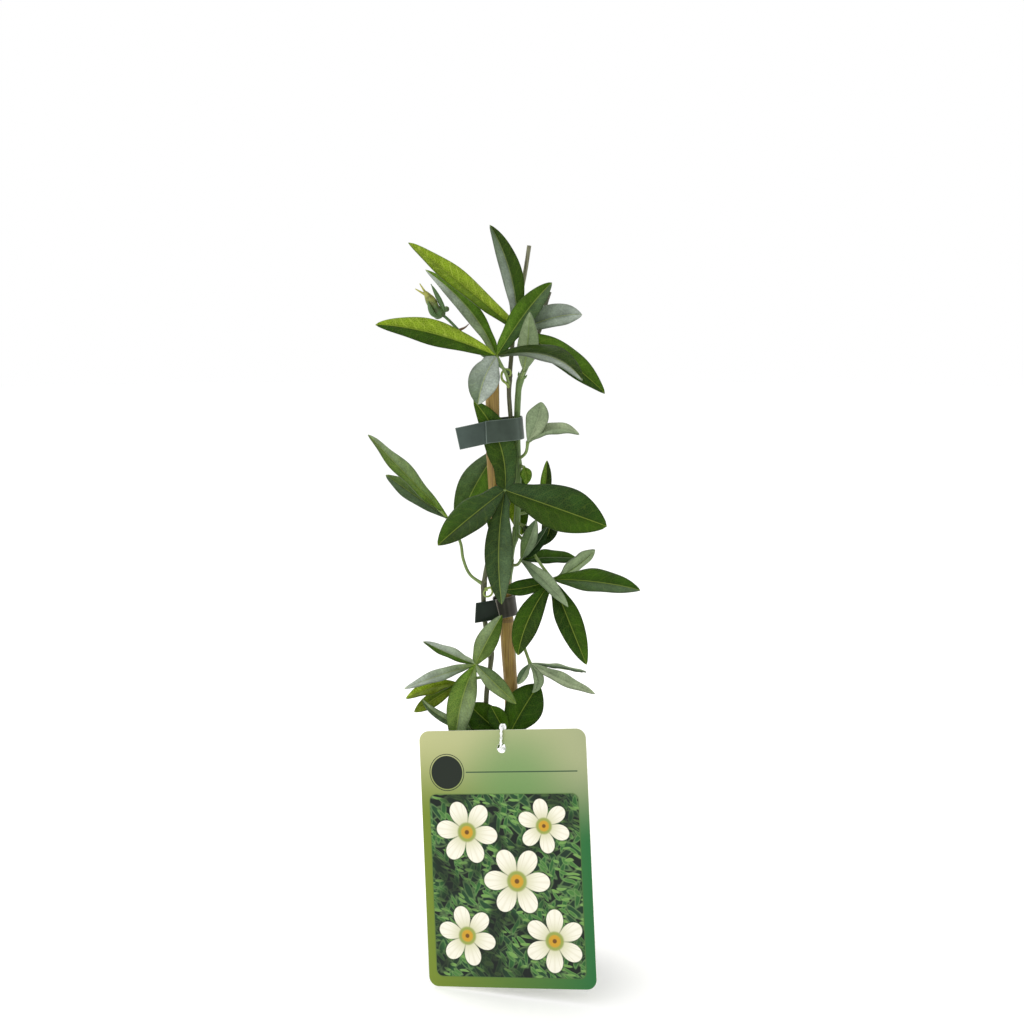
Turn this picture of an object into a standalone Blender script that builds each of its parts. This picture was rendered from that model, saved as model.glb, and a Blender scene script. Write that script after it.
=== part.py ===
"""A young passion flower vine tied to a bamboo cane, in its round nursery pot with its hang tag.

The origin is the centre of the pot's base, on the floor. +Z is up, the tag faces -Y, and +X is to
the right of someone who reads the tag. Every size and place below is in millimetres.
"""

import math

import bmesh
import bpy
from mathutils import Matrix, Vector

MM = 0.001
GAP = 0.3
WELD = 0.01

# Pot and soil
POT_HEIGHT = 72
RIM_RADIUS = 37.5
RIM_DEPTH = 7
RIM_STEP = 1.6
BASE_RADIUS = 27
WALL = 1.2
DRAIN_HOLES = 6
DRAIN_RADIUS = 3
DRAIN_CIRCLE = 17
POT_FLOOR = 1.5
FOOT_CHAMFER = 1.2
POT_SIDES = 40
SOIL_TOP = 64
SOIL_DOME = 1.5
ROOT_DEPTH = 28

# Cane, with a ring at each joint of the bamboo
CANE_RADIUS = 3.5
CANE_POINTS = [
    (3.5, 0, 16), (2.2, 0, 62), (0, 0, 105), (-1.5, 0, 142), (-3, 0, 163), (-4, 0, 180),
    (-6, 0, 208), (-9, 0, 240), (-10.5, 0, 268), (-10.7, 0, 295), (-11, 0, 312),
]
CANE_RINGS = (96, 178, 262)
RING_SWELL = 0.08
RING_LENGTH = 2.5
CANE_STEP = 6

# Stems: points from the soil up, the radius at the foot and at the top, and the leaf joints
FRONT_STEM = {
    "route": [
        (-13, -5, 62), (-13.5, -5, 100), (-14, -6, 138), (-11.5, -6, 161), (-14.5, -5.5, 178),
        (-15, -6, 197), (-11, -7.5, 217), (-4.5, -7, 237), (-2, -4, 258), (-1.5, 0, 276),
        (-2.5, -1, 293), (-1.5, -2, 309), (1, 2, 333), (3, 5, 340), (5.5, 5, 352), (7.5, 5, 365),
    ],
    "radii": (1.35, 1.05),
    "joints": (112, 150, 162, 197, 236, 299, 334),
}
BACK_STEM = {
    "route": [
        (5, 9, 62), (1, 9.5, 124), (-1, 8.5, 166), (-3, 7.5, 187), (-2, 5.5, 205), (-1, 4, 214),
        (1, 2.5, 222), (2, 2, 240), (2, 2.5, 257), (1.5, 3.5, 275), (2, 2.5, 291),
        (3.2, 1.2, 299), (7, 2, 308), (10, 5, 318), (13, 8, 324), (16, 11, 336), (18, 11.5, 342),
    ],
    "radii": (1.6, 0.8),
    "joints": (168, 205, 222, 257, 299, 317),
}
STEM_STEP = 4
JOINT_SWELL = 1.3
JOINT_LENGTH = 2.5

# Leaves
BLADE_THICKNESS = 0.8
LOBE_STATIONS = (0.1, 0.22, 0.37, 0.54, 0.71, 0.86)
PETIOLE_RADIUS = 0.9
PETIOLE_STEP = 4
STALK_SINK = 0.4

# Tendrils: height on the front stem, middle of the coil, turns, radius and way forward
TENDRIL_RADIUS = 0.45
TENDRILS = (
    ("tendril_upper", 291, (-8, -5.2, 298.5), 1.6, 1.9, 3.4),
    ("tendril_lower", 194.5, (-13, -9.6, 193), 1.5, 2.1, 3.2),
)
TENDRIL_POINTS_A_TURN = 10

# Ties: the band's path in plan, round the cane and the stems, with its free tail at one end,
# then its height, the height of its middle and its tilt
TIE_THICKNESS = 0.8
TIE_STEP = 2.5
UPPER_TIE = {
    "route": [
        (-14, -8.2), (-10, -7.8), (-6, -7.2), (0.4, -6.2), (2.8, -5), (4.1, -2.4), (4.4, 1),
        (4, 4.4), (2, 6.2), (-2, 6), (-8, 5), (-12, 4.4), (-15, 2), (-17, -1.6), (-19.4, -4.6),
        (-23.4, -6.2), (-28.5, -7.2),
    ],
    "height": 11, "middle": 275, "tilt": 5,
}
LOWER_TIE = {
    "route": [
        (-19.5, -8.9), (-14, -8.4), (-9, -7.2), (-4.4, -5.4), (-1.8, -4.6), (0.4, -2.4), (1, 1),
        (0.6, 5.6), (-0.3, 9), (-3, 10.4), (-6, 9.2), (-8.6, 5), (-9.9, 0.6), (-9.6, -3),
    ],
    "height": 10, "middle": 186, "tilt": 8,
}

# Hang tag
TAG_WIDTH = 86.5
TAG_HEIGHT = 126.5
TAG_THICKNESS = 0.8
TAG_CORNER = 5
TAG_TURN = -18.2
TAG_LEAN = -8.5
TAG_ROLL = -5.4
TAG_MIDDLE_X = -3.6
TAG_MIDDLE_Z = 66.4
TAG_HOLE_RADIUS = 2.4
TAG_HOLE_BELOW_TOP = 9
LOOP_RADIUS = 0.6
LOOP_STEP = 2.2
# The loop's points near the tag: sideways, behind the card and up from the hole. Then those near
# the cane, in the object's own frame.
LOOP_AT_TAG = [
    (-0.2, 0, -0.3), (0, -1.6, 0.6), (0.4, -1.9, 5), (0.6, -1.5, 9), (0.8, 0.4, 10.6),
    (0.6, 2.4, 8.6),
]
LOOP_AT_CANE = [
    (-4, -16, 116), (-5.2, -9, 108), (-5.2, -2.4, 104), (-3.6, 3.2, 103), (0.4, 5.4, 103),
    (4.6, 3.4, 103), (6, -2, 104), (3.6, -10, 106), (0, -20, 112),
]
LOOP_BACK = (0.6, 3, -0.9)

# Flower bud, from the middle of its round base to its tip
BUD_JOINT = 302
BUD_STALK = [(-8, -5.4, 307), (-17.5, -8.5, 313.5), (-28, -10.5, 325), (-33.5, -11.4, 330.5)]
BUD_STALK_RADIUS = 0.8
BUD_BASE = (-37, -12, 332.5)
BUD_TIP = (-43.6, -13.5, 343.5)
BUD_POINTS = ((-45.8, -14, 346.8), (-48, -12.6, 344.2))
BRACT = [(-34, -11.6, 331.2), (-34.6, -12, 335), (-37.6, -12.8, 341.4), (-40.4, -13, 346.6)]
BRACT_RADIUS = 1.1
BUD_BASE_RADIUS = 3
# The bud's radius at shares of its length, from the tip down
BUD_PROFILE = ((0, 1), (0.9, 0.92), (2.1, 0.72), (3.1, 0.42), (2.5, 0.16), (0, -0.05))
BUD_SIDES = 12
BUD_NECK = 0.7
BUD_POINT_RADIUS = 0.55


def metres(point):
    return Vector(point) * MM


def clear_scene():
    for obj in list(bpy.data.objects):
        bpy.data.objects.remove(obj, do_unlink=True)


def collection(name):
    made = bpy.data.collections.new(name)
    bpy.context.scene.collection.children.link(made)
    return made


def material(name, colour, roughness):
    made = bpy.data.materials.new(name)
    made.use_nodes = True
    shader = made.node_tree.nodes["Principled BSDF"]
    shader.inputs["Base Color"].default_value = (*colour, 1)
    shader.inputs["Roughness"].default_value = roughness
    return made


def place(name, mesh, into, look=None):
    obj = bpy.data.objects.new(name, mesh)
    into.objects.link(obj)
    if look:
        mesh.materials.clear()
        mesh.materials.append(look)
    return obj


def as_mesh(obj, name, into, look=None):
    """The object as the viewport shows it, made a plain welded mesh at the world's origin."""
    bpy.context.view_layer.update()
    graph = bpy.context.evaluated_depsgraph_get()
    mesh = bpy.data.meshes.new_from_object(obj.evaluated_get(graph))
    mesh.transform(obj.matrix_world)
    work = bmesh.new()
    work.from_mesh(mesh)
    bmesh.ops.remove_doubles(work, verts=work.verts, dist=WELD * MM)
    work.to_mesh(mesh)
    work.free()
    bpy.data.objects.remove(obj, do_unlink=True)
    return place(name, mesh, into, look)


def as_cutter(obj):
    obj.hide_render = True
    obj.display_type = "WIRE"


def boolean(obj, other, operation, name, solver="EXACT"):
    modifier = obj.modifiers.new(name, "BOOLEAN")
    modifier.operation = operation
    modifier.solver = solver
    modifier.object = other


def smooth_route(points, step):
    """Points about a step apart on a Catmull-Rom curve through the route's own points."""
    route = [Vector(point) for point in points]
    ends = [2 * route[0] - route[1], *route, 2 * route[-1] - route[-2]]
    found = []
    for before, start, end, after in zip(ends, ends[1:], ends[2:], ends[3:]):
        parts = max(1, round((end - start).length / step))
        for part in range(parts):
            t = part / parts
            found.append(
                0.5 * (2 * start + (end - before) * t
                       + (2 * before - 5 * start + 4 * end - after) * t * t
                       + (3 * start - before - 3 * end + after) * t * t * t)
            )
    found.append(route[-1])
    return found


def tube(name, points, radius, into, look=None, scale_at=None, closed=False, sides=8):
    """A round tube through points; scale_at gives its thickness at a share of the way along."""
    curve = bpy.data.curves.new(name, "CURVE")
    curve.dimensions = "3D"
    curve.bevel_depth = radius * MM
    curve.bevel_resolution = sides // 2 - 2
    curve.use_fill_caps = not closed
    spline = curve.splines.new("POLY")
    spline.points.add(len(points) - 1)
    spline.use_cyclic_u = closed
    for index, point in enumerate(points):
        spline.points[index].co = (*metres(point), 1)
        if scale_at:
            spline.points[index].radius = scale_at(index / (len(points) - 1), point)
    return place(name, curve, into, look)


def turned(name, profile, steps, into, look=None):
    """A profile of (radius, height) points, outer side first, turned round the Z axis."""
    mesh = bpy.data.meshes.new(name)
    points = [(radius * MM, 0, height * MM) for radius, height in profile]
    edges = [(index, index + 1) for index in range(len(points) - 1)]
    mesh.from_pydata(points, edges, [])
    obj = place(name, mesh, into, look)
    screw = obj.modifiers.new("turn", "SCREW")
    screw.steps = steps
    screw.render_steps = steps
    screw.use_merge_vertices = True
    screw.merge_threshold = WELD * MM
    return obj


def cylinder(name, start, end, radius, sides, into):
    """A cutter between two points."""
    along = metres(end) - metres(start)
    work = bmesh.new()
    bmesh.ops.create_cone(
        work, cap_ends=True, segments=sides, radius1=radius * MM, radius2=radius * MM,
        depth=along.length,
    )
    mesh = bpy.data.meshes.new(name)
    work.to_mesh(mesh)
    work.free()
    obj = place(name, mesh, into)
    turn = along.to_track_quat("Z", "Y").to_matrix().to_4x4()
    obj.matrix_world = Matrix.Translation((metres(start) + metres(end)) / 2) @ turn
    as_cutter(obj)
    return obj


def make_pot(parts, cutters):
    plastic = material("black nursery plastic", (0.02, 0.021, 0.022), 0.45)
    shoulder = POT_HEIGHT - RIM_DEPTH
    body_radius = RIM_RADIUS - RIM_STEP
    profile = [
        (0, POT_FLOOR),
        (BASE_RADIUS - WALL, POT_FLOOR),
        (body_radius - WALL, shoulder),
        (RIM_RADIUS - WALL, shoulder + WALL),
        (RIM_RADIUS - WALL, POT_HEIGHT),
        (RIM_RADIUS, POT_HEIGHT),
        (RIM_RADIUS, shoulder),
        (body_radius, shoulder - 0.4),
        (BASE_RADIUS, FOOT_CHAMFER),
        (BASE_RADIUS - FOOT_CHAMFER, 0),
        (0, 0),
    ]
    pot = turned("pot", profile, POT_SIDES, parts, plastic)
    for index in range(DRAIN_HOLES):
        angle = 2 * math.pi * (index + 0.5) / DRAIN_HOLES
        x, y = DRAIN_CIRCLE * math.cos(angle), DRAIN_CIRCLE * math.sin(angle)
        hole = cylinder(f"drain hole {index}", (x, y, -2), (x, y, 4), DRAIN_RADIUS, 12, cutters)
        boolean(pot, hole, "DIFFERENCE", f"drain {index}")


def make_soil(parts, cutters):
    earth = material("potting soil", (0.05, 0.032, 0.022), 0.95)
    floor = POT_FLOOR + GAP
    shoulder = POT_HEIGHT - RIM_DEPTH
    top_radius = RIM_RADIUS - RIM_STEP - WALL - GAP
    slope = (RIM_RADIUS - RIM_STEP - BASE_RADIUS) / shoulder
    edge = SOIL_TOP - SOIL_DOME
    edge_radius = top_radius - slope * (shoulder - edge)
    profile = [
        (0, SOIL_TOP),
        (edge_radius * 0.45, SOIL_TOP - 0.3),
        (edge_radius * 0.8, SOIL_TOP - 0.9),
        (edge_radius, edge),
        (BASE_RADIUS - WALL - GAP, floor),
        (0, floor),
    ]
    soil = turned("soil", profile, POT_SIDES, parts, earth)
    root_foot = SOIL_TOP - ROOT_DEPTH - GAP
    for name, foot, route, radius in (
        ("cane hole", CANE_POINTS[0][2] - GAP, CANE_POINTS, CANE_RADIUS),
        ("front stem hole", root_foot, FRONT_STEM["route"], FRONT_STEM["radii"][0]),
        ("back stem hole", root_foot, BACK_STEM["route"], BACK_STEM["radii"][0]),
    ):
        low, high = Vector(route[0]), Vector(route[1])
        along = (high - low) / (high.z - low.z)
        start = low + along * (foot - low.z)
        end = low + along * (SOIL_TOP + 5 - low.z)
        hole = cylinder(name, start, end, radius + GAP, 16, cutters)
        boolean(soil, hole, "DIFFERENCE", name)


def stem_scale(stem, share, height):
    """A stem's thickness on the way up: a taper, thicker round each leaf joint."""
    foot, top = stem["radii"]
    swell = sum(math.exp(-(((height - joint) / JOINT_LENGTH) ** 2)) for joint in stem["joints"])
    return (1 + (top / foot - 1) * share) * (1 + (JOINT_SWELL - 1) * min(1, swell))


def stem_route(stem):
    """The stem's own points from its foot in the soil, which is straight down to its end."""
    low, high = Vector(stem["route"][0]), Vector(stem["route"][1])
    foot = low + (high - low) * (SOIL_TOP - ROOT_DEPTH - low.z) / (high.z - low.z)
    return [foot, *smooth_route(stem["route"], STEM_STEP)]


def stalk_start(stem, height, toward, thickness):
    """Where a stalk of this radius that leaves the stem at this height begins, a gap off it."""
    route = stem_route(stem)
    index = min(range(1, len(route) - 1), key=lambda i: abs(route[i].z - height))
    along = (route[index + 1] - route[index - 1]).normalized()
    centre = route[index] + along * (height - route[index].z) / along.z
    radius = stem["radii"][0] * stem_scale(stem, index / (len(route) - 1), height)
    out = Vector(toward) - centre
    rise = out.dot(along)
    out -= along * rise
    tilt = math.atan2(abs(rise), out.length)
    return centre + out.normalized() * (radius + GAP + thickness * math.sin(tilt))


def make_cane(parts):
    bamboo = material("dry bamboo", (0.55, 0.4, 0.23), 0.5)
    points = [CANE_POINTS[0], *smooth_route(CANE_POINTS[1:], CANE_STEP)]

    def ring(_share, point):
        near = max(math.exp(-(((point[2] - z) / RING_LENGTH) ** 2)) for z in CANE_RINGS)
        return 1 + RING_SWELL * near

    tube("bamboo_cane", points, CANE_RADIUS, parts, bamboo, ring, sides=12)


def make_stems(parts):
    bark = material("brown green stem", (0.13, 0.13, 0.06), 0.5)
    green = material("green stem", (0.2, 0.28, 0.08), 0.5)
    for name, look, stem in (
        ("stem_front", bark, FRONT_STEM), ("stem_back", green, BACK_STEM),
    ):
        points = stem_route(stem)
        tube(name, points, stem["radii"][0], parts, look,
             lambda share, point, stem=stem: stem_scale(stem, share, point[2]))


def lobe(tip, mid, width, face, fold=12, widest=0.48):
    """One finger of a leaf: its tip, the middle of its rib, its width and the way its top looks."""
    return {
        "tip": Vector(tip), "mid": Vector(mid), "width": width, "face": Vector(face),
        "fold": math.radians(fold), "widest": widest,
    }


def rib(junction, finger, t):
    bend = 2 * finger["mid"] - (junction + finger["tip"]) / 2
    return junction * (1 - t) ** 2 + 2 * bend * t * (1 - t) + finger["tip"] * t * t


def half_width(finger, t):
    """Narrow at the foot, widest near the middle, with a blunt point."""
    if t < finger["widest"]:
        share = math.sin(math.pi / 2 * t / finger["widest"]) ** 1.3
        share = 0.16 + 0.84 * share
    else:
        along = (t - finger["widest"]) / (1 - finger["widest"])
        share = math.cos(math.pi / 2 * along) ** 0.75
    return finger["width"] / 2 * share


def edge(junction, finger, t, side):
    """A point on the margin, to the left (-1) or the right (1) of the rib."""
    forward = (rib(junction, finger, t + 0.01) - rib(junction, finger, t - 0.01)).normalized()
    up = (finger["face"] - forward * finger["face"].dot(forward)).normalized()
    across = forward.cross(up) * side
    reach = half_width(finger, t)
    out = across * math.cos(finger["fold"]) + up * math.sin(finger["fold"])
    return rib(junction, finger, t) + out * reach


def blade(junction, fingers):
    """The open surface of a whole leaf: neighbouring fingers share the web between them."""
    work = bmesh.new()
    heart = work.verts.new(metres(junction))
    web = LOBE_STATIONS[0]
    webs = [work.verts.new(metres(edge(junction, fingers[0], web, -1)))]
    for left, right in zip(fingers, fingers[1:]):
        between = (edge(junction, left, web, 1) + edge(junction, right, web, -1)) / 2
        webs.append(work.verts.new(metres(between)))
    webs.append(work.verts.new(metres(edge(junction, fingers[-1], web, 1))))
    for index, finger in enumerate(fingers):
        ribs = [work.verts.new(metres(rib(junction, finger, t))) for t in LOBE_STATIONS]
        ribs.append(work.verts.new(metres(finger["tip"])))
        for side, foot in ((-1, webs[index]), (1, webs[index + 1])):
            margin = [foot]
            margin += [work.verts.new(metres(edge(junction, finger, t, side)))
                       for t in LOBE_STATIONS[1:]]
            faces = [(heart, ribs[0], margin[0])]
            for row in range(len(margin) - 1):
                faces.append((ribs[row], ribs[row + 1], margin[row + 1]))
                faces.append((ribs[row], margin[row + 1], margin[row]))
            faces.append((ribs[-2], ribs[-1], margin[-1]))
            for face in faces:
                work.faces.new(face if side > 0 else face[::-1])
    return work


def make_leaf(name, look, parts, junction, stalk, fingers):
    """A leaf with its stalk, as one solid. stalk is (stem, height on it, points on the way)."""
    junction = Vector(junction)
    work = blade(junction, fingers)
    mesh = bpy.data.meshes.new(name)
    work.to_mesh(mesh)
    work.free()
    leaf = place(name + " blade", mesh, parts)
    thick = leaf.modifiers.new("thickness", "SOLIDIFY")
    thick.thickness = BLADE_THICKNESS * MM
    thick.offset = 0
    leaf = as_mesh(leaf, name, parts, look)
    stem, height, between = stalk
    way = [Vector(point) for point in between]
    start = stalk_start(stem, height, (way + [junction])[0], PETIOLE_RADIUS)
    last = (way or [start])[-1]
    inside = junction + (junction - last).normalized() * STALK_SINK
    route = smooth_route([start, *way, inside], PETIOLE_STEP)
    petiole = as_mesh(tube("petiole", route, PETIOLE_RADIUS, parts), "petiole", parts)
    # The exact solver loses some of these thin blades, so the manifold one joins them all.
    boolean(leaf, petiole, "UNION", "petiole", "MANIFOLD")
    leaf = as_mesh(leaf, name, parts, look)
    bpy.data.objects.remove(petiole, do_unlink=True)
    leaf.data.shade_smooth()
    leaf.data.set_sharp_from_angle(angle=math.radians(50))


def make_leaves(parts):
    dark = material("dark green leaf", (0.045, 0.14, 0.02), 0.4)
    fresh = material("fresh green leaf", (0.13, 0.29, 0.02), 0.45)
    pale = material("pale young leaf", (0.3, 0.42, 0.25), 0.55)
    make_leaf(
        "leaf_top_front", dark, parts, (-8.5, -13, 311.5),
        (FRONT_STEM, 297, [(-4.2, -8.6, 303)]),
        [
            lobe((-17.5, -18, 288.5), (-14.5, -20, 301), 15, (0, -1, 0.1), 8, 0.5),
            lobe((-66.5, -28, 327.5), (-39, -22.5, 323), 14, (0, -0.85, 0.55), 8),
            lobe((-44, 9, 353), (-21.8, -3, 333.5), 9, (-0.2, -0.9, 0.4)),
            lobe((18.5, -6, 347), (5.5, -12, 332.5), 12, (0.05, -0.9, 0.4)),
            lobe((32.5, -40, 301.5), (16, -28, 312.5), 14, (0.1, -0.55, 0.8), 16),
        ],
    )
    make_leaf(
        "leaf_top_back", fresh, parts, (2, -4, 323),
        (BACK_STEM, 317, [(6, -0.6, 319)]),
        [
            lobe((-50.5, -26, 366.5), (-25, -18, 346.2), 12.5, (0.1, -0.75, 0.65)),
            lobe((-12, 5, 375), (-2, 0.5, 351.5), 12, (0.3, -0.95, 0.1), 25),
            lobe((33.5, 2, 331), (18.5, -4, 329.5), 14, (0.15, -0.8, 0.6), 20, 0.55),
            lobe((44.5, -10, 293), (24.5, -7, 309.8), 14.5, (0.3, -0.9, 0.5), 14),
        ],
    )
    make_leaf(
        "leaf_young_top", pale, parts, (4.8, -3.8, 303.5),
        (BACK_STEM, 299, []),
        [lobe((7.5, -23.5, 333.5), (6.6, -16.2, 317.4), 10, (0.2, 0.9, 0.5), 30, 0.4)],
    )
    make_leaf(
        "leaf_centre_front", dark, parts, (-4.5, -12.5, 245.5),
        (FRONT_STEM, 236, [(-4.7, -11.3, 240)]),
        [
            lobe((-37, -32, 221), (-21.5, -24, 233.5), 17, (-0.1, -0.85, 0.5)),
            lobe((-20, -7.6, 289.5), (-7.2, -4.6, 268), 15, (0, -1, 0.02), 2, 0.45),
            lobe((45, -30, 230), (20.5, -24, 238.2), 24, (0.05, -0.9, 0.45), 12, 0.57),
            lobe((-6, -24, 190.5), (-7.5, -22, 218.5), 14, (0, -1, 0), 10, 0.55),
        ],
    )
    make_leaf(
        "leaf_centre_back", dark, parts, (-7, 8.5, 264.5),
        (BACK_STEM, 257, [(-2.5, 7, 261.5)]),
        [
            lobe((4, 10, 219.5), (0, 12, 241.5), 14, (0, -1, 0.2)),
            lobe((-12, 15, 219.5), (-9, 14.5, 242), 11, (0, -1, 0.2)),
            lobe((-28.5, 12, 224), (-19.5, 12.5, 244.5), 17, (-0.2, -1, 0.2)),
        ],
    )
    make_leaf(
        "leaf_small_right", dark, parts, (4.6, -0.4, 255.6),
        (BACK_STEM, 256.5, []),
        [lobe((6, -1.4, 247), (6, -0.8, 251.5), 6, (0.1, -1, 0.2), 8, 0.4)],
    )
    make_leaf(
        "leaf_pale_right", pale, parts, (6.8, -5.8, 268.5),
        (BACK_STEM, 259, [(5.8, -2.8, 263)]),
        [
            lobe((13.5, -6, 288.5), (11.4, -7.5, 279), 12, (-0.3, -0.9, 0.3), 12, 0.55),
            lobe((32, -12, 273), (19, -10, 275.2), 9, (0.1, -0.6, 0.8)),
        ],
    )
    make_leaf(
        "leaf_left", fresh, parts, (-32.5, 2, 229),
        (FRONT_STEM, 197, [(-22, -4.4, 202), (-25.4, -2.4, 209.5), (-27, -0.6, 218)]),
        [
            lobe((-64.5, 8, 250.5), (-50.5, 5, 241), 11, (0.6, -0.55, 0.5)),
            lobe((-72, -8, 272.5), (-54, -4, 252.3), 10.5, (0.75, -0.4, 0.55)),
        ],
    )
    make_leaf(
        "leaf_right", dark, parts, (19, -14, 201),
        (BACK_STEM, 222, [(7.4, -3, 216), (13, -10, 208.5)]),
        [
            lobe((35.5, -30, 161.5), (27.2, -24, 181.5), 13, (0.1, -0.95, 0.25)),
            lobe((2, -22, 164.5), (7.5, -20, 183), 13, (-0.1, -0.95, 0.25), 12, 0.55),
            lobe((-6.5, -12, 195.5), (6, -14, 197), 9, (0, -0.8, 0.6)),
            lobe((40.5, -4, 214.5), (31, -8, 207), 11, (0.4, 0.65, 0.65)),
            lobe((61.5, -30, 198.5), (40.5, -24, 201.5), 14, (0, -0.7, 0.7)),
        ],
    )
    make_leaf(
        "leaf_pale_middle", pale, parts, (3.5, -6.5, 209.5),
        (BACK_STEM, 205, [(1.4, 0.6, 206), (2.8, -3.4, 208)]),
        [
            lobe((10.5, -13, 230.5), (7, -11, 219.5), 7, (-0.3, -0.9, 0.2), 10, 0.55),
            lobe((17.5, -10, 226.5), (11.5, -9.5, 216.5), 6, (0.3, -0.9, 0.3), 10, 0.6),
            lobe((32, 6, 208), (18.5, 1, 209.5), 10, (0, -0.6, 0.8)),
            lobe((26.5, -26, 189.5), (15, -19.5, 201.5), 8, (0.3, -0.8, 0.5)),
        ],
    )
    make_leaf(
        "leaf_right_back", dark, parts, (14.5, 4, 236),
        (BACK_STEM, 231, [(9, 3.5, 233)]),
        [
            lobe((16.5, 4, 258.5), (16, 4.5, 247.5), 6, (0, -1, 0), 20),
            lobe((13, 8, 214.5), (18, 8, 224.5), 9, (0.2, -1, 0)),
        ],
    )
    make_leaf(
        "leaf_curled_middle", dark, parts, (5, -0.8, 226),
        (BACK_STEM, 227.5, []),
        [lobe((9, -3.4, 219.6), (6.8, -2.8, 223.4), 6, (0.2, -0.6, 0.8), 30, 0.5)],
    )
    make_leaf(
        "leaf_low_front", dark, parts, (-19, -16, 158.5),
        (FRONT_STEM, 162, [(-15.5, -12, 160.5)]),
        [
            lobe((1, -20, 139.5), (-10, -21, 150.5), 9, (0.2, -0.9, 0.4)),
            lobe((-29.5, -12.5, 116), (-26, -19, 141), 14, (0, -1, 0.1)),
            lobe((-54, -26, 148.5), (-36, -22, 154.5), 7.5, (0, -0.6, 0.8)),
            lobe((-45.5, -8, 168.5), (-32, -12, 162.8), 7.5, (0.1, -0.6, 0.8), 20),
            lobe((-6, -10.5, 182.5), (-13.5, -15.5, 170), 11, (-0.2, -0.95, 0.1)),
        ],
    )
    make_leaf(
        "leaf_low_left", fresh, parts, (-28, -5, 146.5),
        (FRONT_STEM, 150, [(-21, -5.8, 149)]),
        [
            lobe((-50.5, 0, 130.5), (-40, -2.5, 138), 8, (0, -0.9, 0.45)),
            lobe((-54, -13, 140.5), (-41, -10.5, 145.5), 8, (0, -0.7, 0.7)),
        ],
    )
    make_leaf(
        "leaf_low_right", pale, parts, (8, -8, 157.5),
        (BACK_STEM, 168, [(3.8, 4.2, 166.5), (5.8, -2, 162.5)]),
        [
            lobe((36.5, -2, 151.5), (23, -4, 154.6), 7, (0, -0.05, 1), 4),
            lobe((40, -24, 145.5), (23.5, -16.5, 151), 8, (0.1, -0.5, 0.85)),
            lobe((9, -12.5, 143.5), (12, -11, 150), 6, (0.3, -0.9, 0), 25),
            lobe((2, -14, 148), (4.6, -11.5, 152), 5, (-0.3, -0.9, 0.2)),
        ],
    )
    make_leaf(
        "leaf_base", dark, parts, (-3, -9.5, 120),
        (FRONT_STEM, 112, [(-7.4, -8.6, 115)]),
        [
            lobe((-46.5, -6, 139), (-32, -7.5, 127.5), 5, (0.2, -0.9, 0.3)),
            lobe((-22.5, -9, 137), (-14.5, -9.8, 129), 16, (-0.1, -1, 0.1), 6, 0.55),
            lobe((-11.5, -13, 136.5), (-8, -13, 130), 10, (0, -1, 0.3), 12, 0.55),
            lobe((12.5, -5, 146), (4, -9.5, 133.5), 19, (0.1, -1, 0.2), 8, 0.58),
        ],
    )


def make_tendrils(parts):
    """Two thin curling tendrils, each from a joint of the front stem."""
    green = material("tendril", (0.3, 0.42, 0.08), 0.5)
    for name, height, coil, turns, reach, forward in TENDRILS:
        steps = round(turns * TENDRIL_POINTS_A_TURN)
        curl = []
        for step in range(1, steps + 1):
            share = step / steps
            angle = 2 * math.pi * turns * share
            radius = reach * (1 - 0.35 * share)
            curl.append(Vector(coil) + Vector((
                radius * math.cos(angle), -forward * share, radius * math.sin(angle),
            )))
        start = stalk_start(FRONT_STEM, height, curl[0], TENDRIL_RADIUS)
        tube(name, [start, *curl], TENDRIL_RADIUS, parts, green)


def make_bud(parts):
    """The flower bud on its stalk, with the bracts round it and its two fine points."""
    look = material("flower bud", (0.35, 0.42, 0.14), 0.5)
    base, tip = Vector(BUD_BASE), Vector(BUD_TIP)
    along = (tip - base).normalized()
    length = (tip - base).length
    start = stalk_start(FRONT_STEM, BUD_JOINT, BUD_STALK[0], BUD_STALK_RADIUS)
    route = smooth_route([start, *BUD_STALK, base], PETIOLE_STEP)
    stalk = tube("bud stalk", route, BUD_STALK_RADIUS, parts)
    pieces = [as_mesh(stalk, "bud stalk", parts)]
    profile = [(radius, length * share) for radius, share in BUD_PROFILE]
    body = turned("bud body", profile, BUD_SIDES, parts)
    angles = [math.pi * row / 8 for row in range(9)]
    ball = [(BUD_BASE_RADIUS * math.sin(a), BUD_BASE_RADIUS * math.cos(a)) for a in angles]
    lower = turned("bud round", ball, BUD_SIDES, parts)
    turn = along.to_track_quat("Z", "Y").to_matrix().to_4x4()
    for piece in (body, lower):
        piece.matrix_world = Matrix.Translation(metres(base)) @ turn
        pieces.append(as_mesh(piece, piece.name, parts))
    neck = base + along * length * BUD_NECK
    for end in BUD_POINTS:
        route = [neck, (neck + Vector(end)) / 2 + Vector((0.4, 0, 0.3)), Vector(end)]
        point = tube("bud point", route, BUD_POINT_RADIUS, parts,
                     scale_at=lambda share, _point: 1.5 - 0.9 * share)
        pieces.append(as_mesh(point, "bud point", parts))
    bract = tube("bract", [Vector(point) for point in BRACT], BRACT_RADIUS, parts,
                 scale_at=lambda share, _point: 1 - 0.6 * share)
    pieces.append(as_mesh(bract, "bract", parts))
    bud = pieces[0]
    bud.name = "flower_bud"
    for index, piece in enumerate(pieces[1:]):
        boolean(bud, piece, "UNION", f"join {index}", "MANIFOLD")
    bud = as_mesh(bud, "flower_bud", parts, look)
    for piece in pieces[1:]:
        bpy.data.objects.remove(piece, do_unlink=True)
    bud.data.shade_smooth()


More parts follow.
